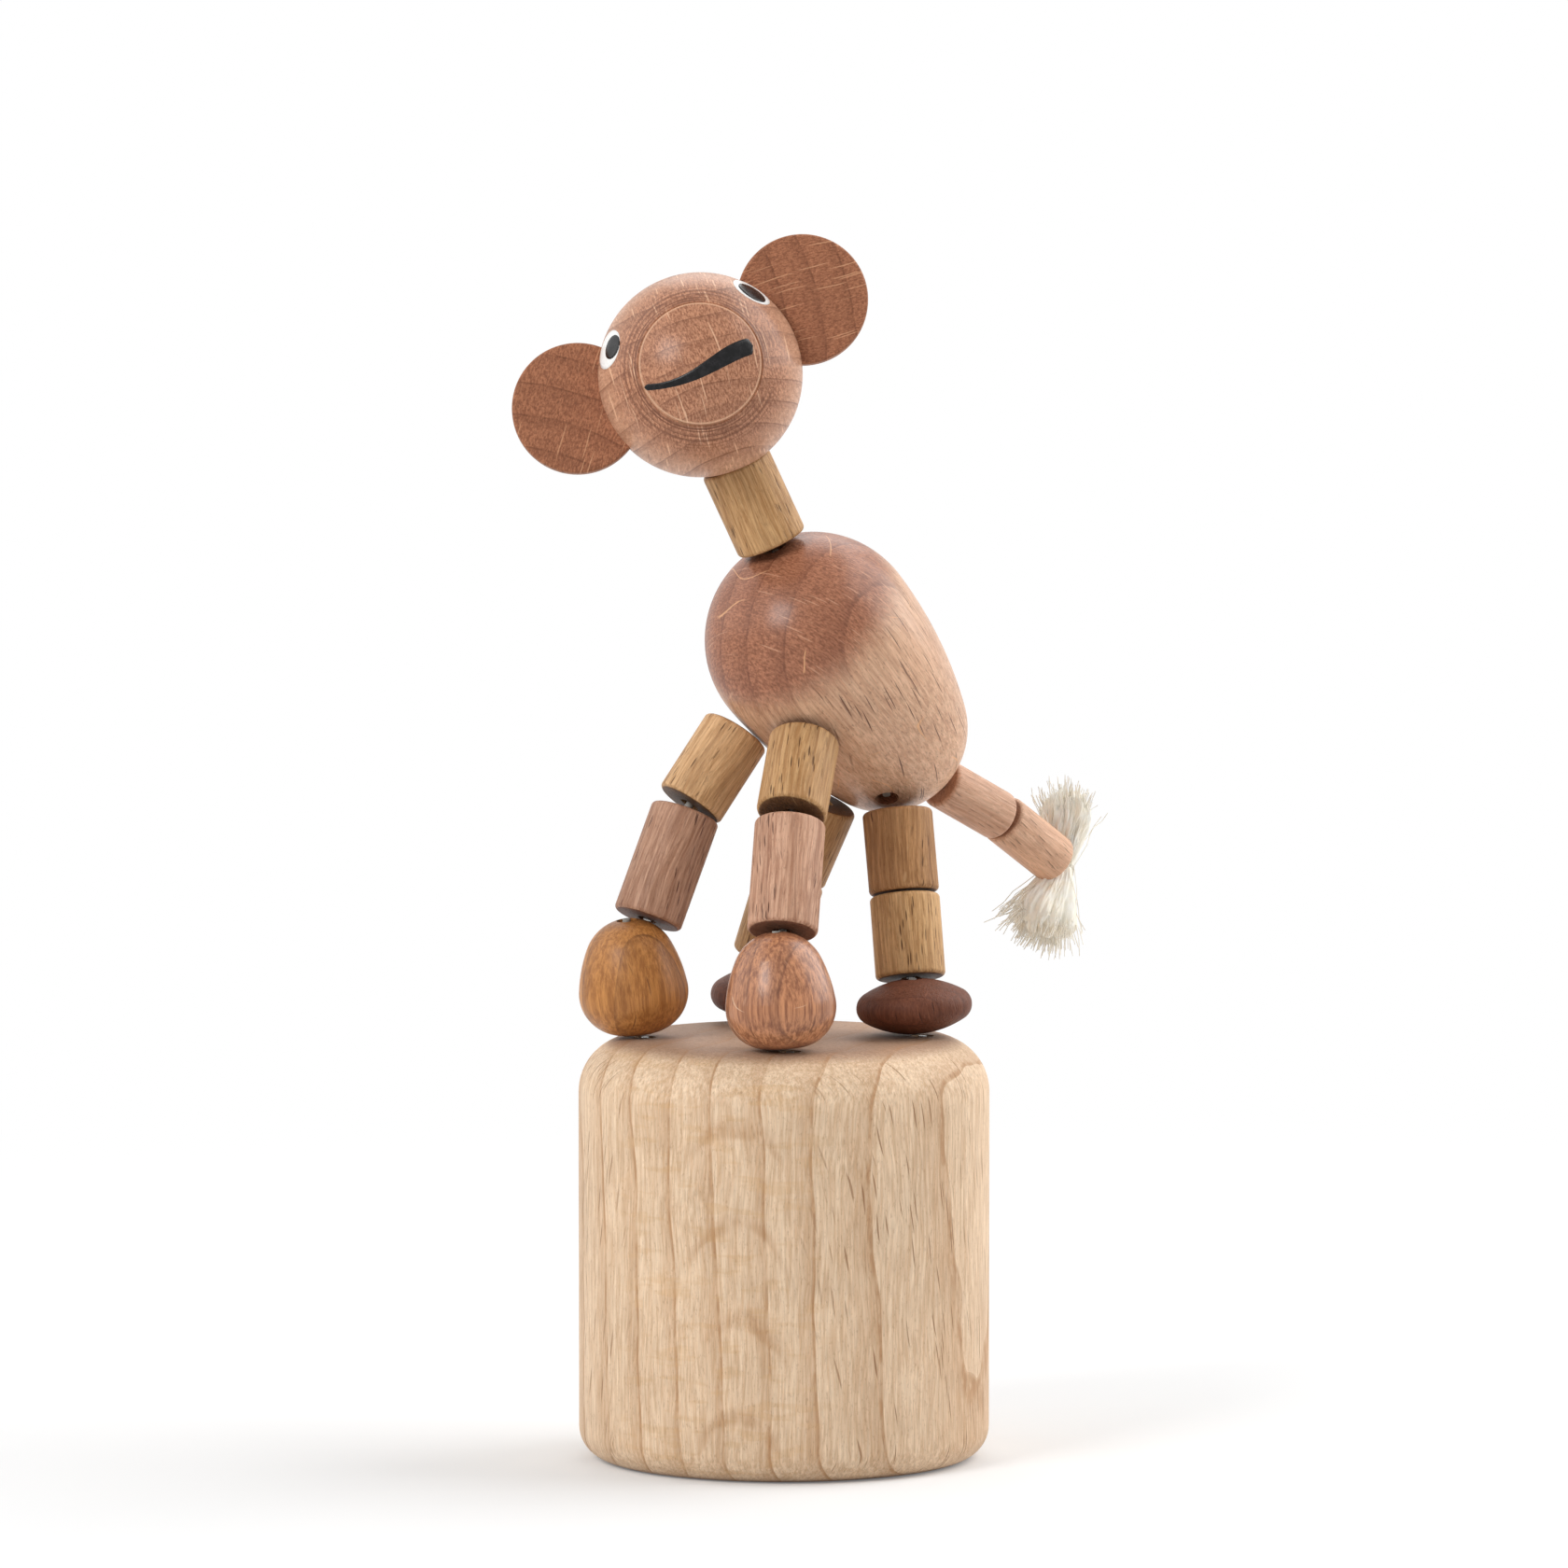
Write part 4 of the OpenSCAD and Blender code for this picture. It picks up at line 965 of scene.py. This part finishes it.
def frayTree(look):
    kinds = {
        "Strands": "Int", "Length": "Float", "Waist": "Float", "Spread": "Float",
        "Curl": "Float", "Thickness": "Float", "Seed": "Int", "Finish": "Material",
    }
    tree, given, result = newTree("frayedYarn", kinds)

    def pick(low, high, offset, kind="FLOAT_VECTOR"):
        node = tree.nodes.new("FunctionNodeRandomValue")
        node.data_type = kind
        first, last, out = (0, 1, 0) if kind == "FLOAT_VECTOR" else (2, 3, 1)
        node.inputs[first].default_value = low
        node.inputs[last].default_value = high
        tree.links.new(plus(tree, given["Seed"], offset), node.inputs["Seed"])
        return node.outputs[out]

    start = stretch(tree, pick((-1, -1, -1), (1, 1, 1), 1), look["rootFlat"])
    values = {"Count": given["Strands"], "Position": scaled(tree, start, given["Waist"])}
    roots = addNode(tree, "GeometryNodePoints", values).outputs[0]
    end = addNode(tree, "ShaderNodeCombineXYZ", {2: given["Length"]}).outputs[0]
    strand = addNode(tree, "GeometryNodeCurvePrimitiveLine", {"End": end}).outputs[0]
    values = {"Curve": strand, "Count": look["strandPoints"]}
    strand = addNode(tree, "GeometryNodeResampleCurve", values).outputs[0]
    lean = stretch(tree, pick((-1, -1, -1), (1, 1, 1), 2), pick(look["leastLean"], (1, 1, 0), 3))
    values = {
        "Points": roots, "Instance": strand, "Rotation": scaled(tree, lean, given["Spread"]),
        "Scale": pick(look["shortest"], 1.0, 4, "FLOAT"),
    }
    spread = addNode(tree, "GeometryNodeInstanceOnPoints", values).outputs[0]
    loose = addNode(tree, "GeometryNodeRealizeInstances", {"Geometry": spread}).outputs[0]
    # each strand curls more towards its frayed end
    here = tree.nodes.new("GeometryNodeInputPosition").outputs[0]
    values = {"Vector": here, "Scale": look["waveSize"], "Detail": 2.0}
    wave = addNode(tree, "ShaderNodeTexNoise", values).outputs["Color"]
    wave = vectorCalc(tree, "SUBTRACT", wave, (0.5, 0.5, 0.5))
    far = tree.nodes.new("GeometryNodeSplineParameter").outputs["Factor"]
    pull = times(tree, calc(tree, "POWER", far, look["curlPower"]), given["Curl"])
    values = {"Geometry": loose, "Offset": scaled(tree, wave, pull)}
    bent = addNode(tree, "GeometryNodeSetPosition", values).outputs[0]
    tubeOf(tree, bent, look["strandSides"], given["Thickness"], given["Finish"], result)
    return tree


# a groove is depth, count, sway, pace and share of the seed,
# a ragged end depth, count and share of the seed
coreMesh = {
    "rows": 30, "steps": 132, "swell": 0.9, "shoulder": 0.62,
    "lobeDepth": 0.09, "lobes": 3, "lobeTwist": 4,
    "grooves": [(0.06, 11, 1.5, 5, 1), (0.05, 23, 2, 7, 0), (0.03, 41, 2, 9, 1)],
    "ragged": [(0.07, 5, 1), (0.05, 19, 0)], "raggedPower": 3,
}


def coreLobe(joined, half, waist, place):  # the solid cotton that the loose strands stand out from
    make, seed = coreMesh, half["seed"]
    rows, steps = make["rows"], make["steps"]
    rings = []
    for k in range(rows):
        t = k / rows
        closing = max(t - make["shoulder"], 0) / (1 - make["shoulder"])
        radius = waist + (half["coreWide"] - waist) * t ** make["swell"]
        radius *= math.sqrt(1 - closing ** 2)
        ring = []
        for s in range(steps):
            a = 2 * math.pi * s / steps
            groove = make["lobeDepth"] * math.sin(make["lobes"] * a + make["lobeTwist"] * t + seed)
            for depth, count, sway, pace, share in make["grooves"]:
                groove += depth * math.sin(count * a + sway * math.sin(pace * t + share * seed))
            rag = 0.0
            for depth, count, share in make["ragged"]:
                rag += depth * math.sin(count * a + share * seed)
            rise = half["coreLong"] * t * (1 + t ** make["raggedPower"] * rag)
            wide = radius * (1 + groove)
            spot = Vector((wide * math.cos(a), wide * math.sin(a), rise))
            ring.append(joined.verts.new(place @ spot))
        rings.append(ring)
    for low, high in zip(rings, rings[1:]):
        for s in range(steps):
            n = (s + 1) % steps
            joined.faces.new((low[s], low[n], high[n], high[s]))
    joined.faces.new(rings[0][::-1])
    pole = joined.verts.new(place @ Vector((0, 0, half["coreLong"])))
    for s in range(steps):
        joined.faces.new((rings[-1][s], rings[-1][(s + 1) % steps], pole))


def tieTuft(look):
    finish = yarnFinish(look)
    tree = frayTree(look)
    joined = bmesh.new()
    for name, half in look["halves"].items():
        values = {
            "Strands": half["strands"], "Length": half["length"], "Waist": look["waist"],
            "Spread": half["spread"], "Curl": look["curl"], "Thickness": look["thick"],
            "Seed": half["seed"], "Finish": finish,
        }
        mesh = growMesh(name + "Brush", tree, values)
        aim = Vector(half["way"]).to_track_quat("Z", "Y").to_matrix().to_4x4()
        place = Matrix.Translation(look["tie"]) @ aim
        mesh.transform(place)
        joined.from_mesh(mesh)
        coreLobe(joined, half, look["waist"], place)
    mesh = bpy.data.meshes.new("tailTuft")
    joined.to_mesh(mesh)
    joined.free()
    shadeMesh(mesh)
    tuft = layPiece("tailTuft", mesh, finish)
    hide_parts("tail_tuft")
    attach(tuft, "tail_tip")
    print("tuft tied:", len(mesh.polygons), "faces")


tieTuft(tuftLook)
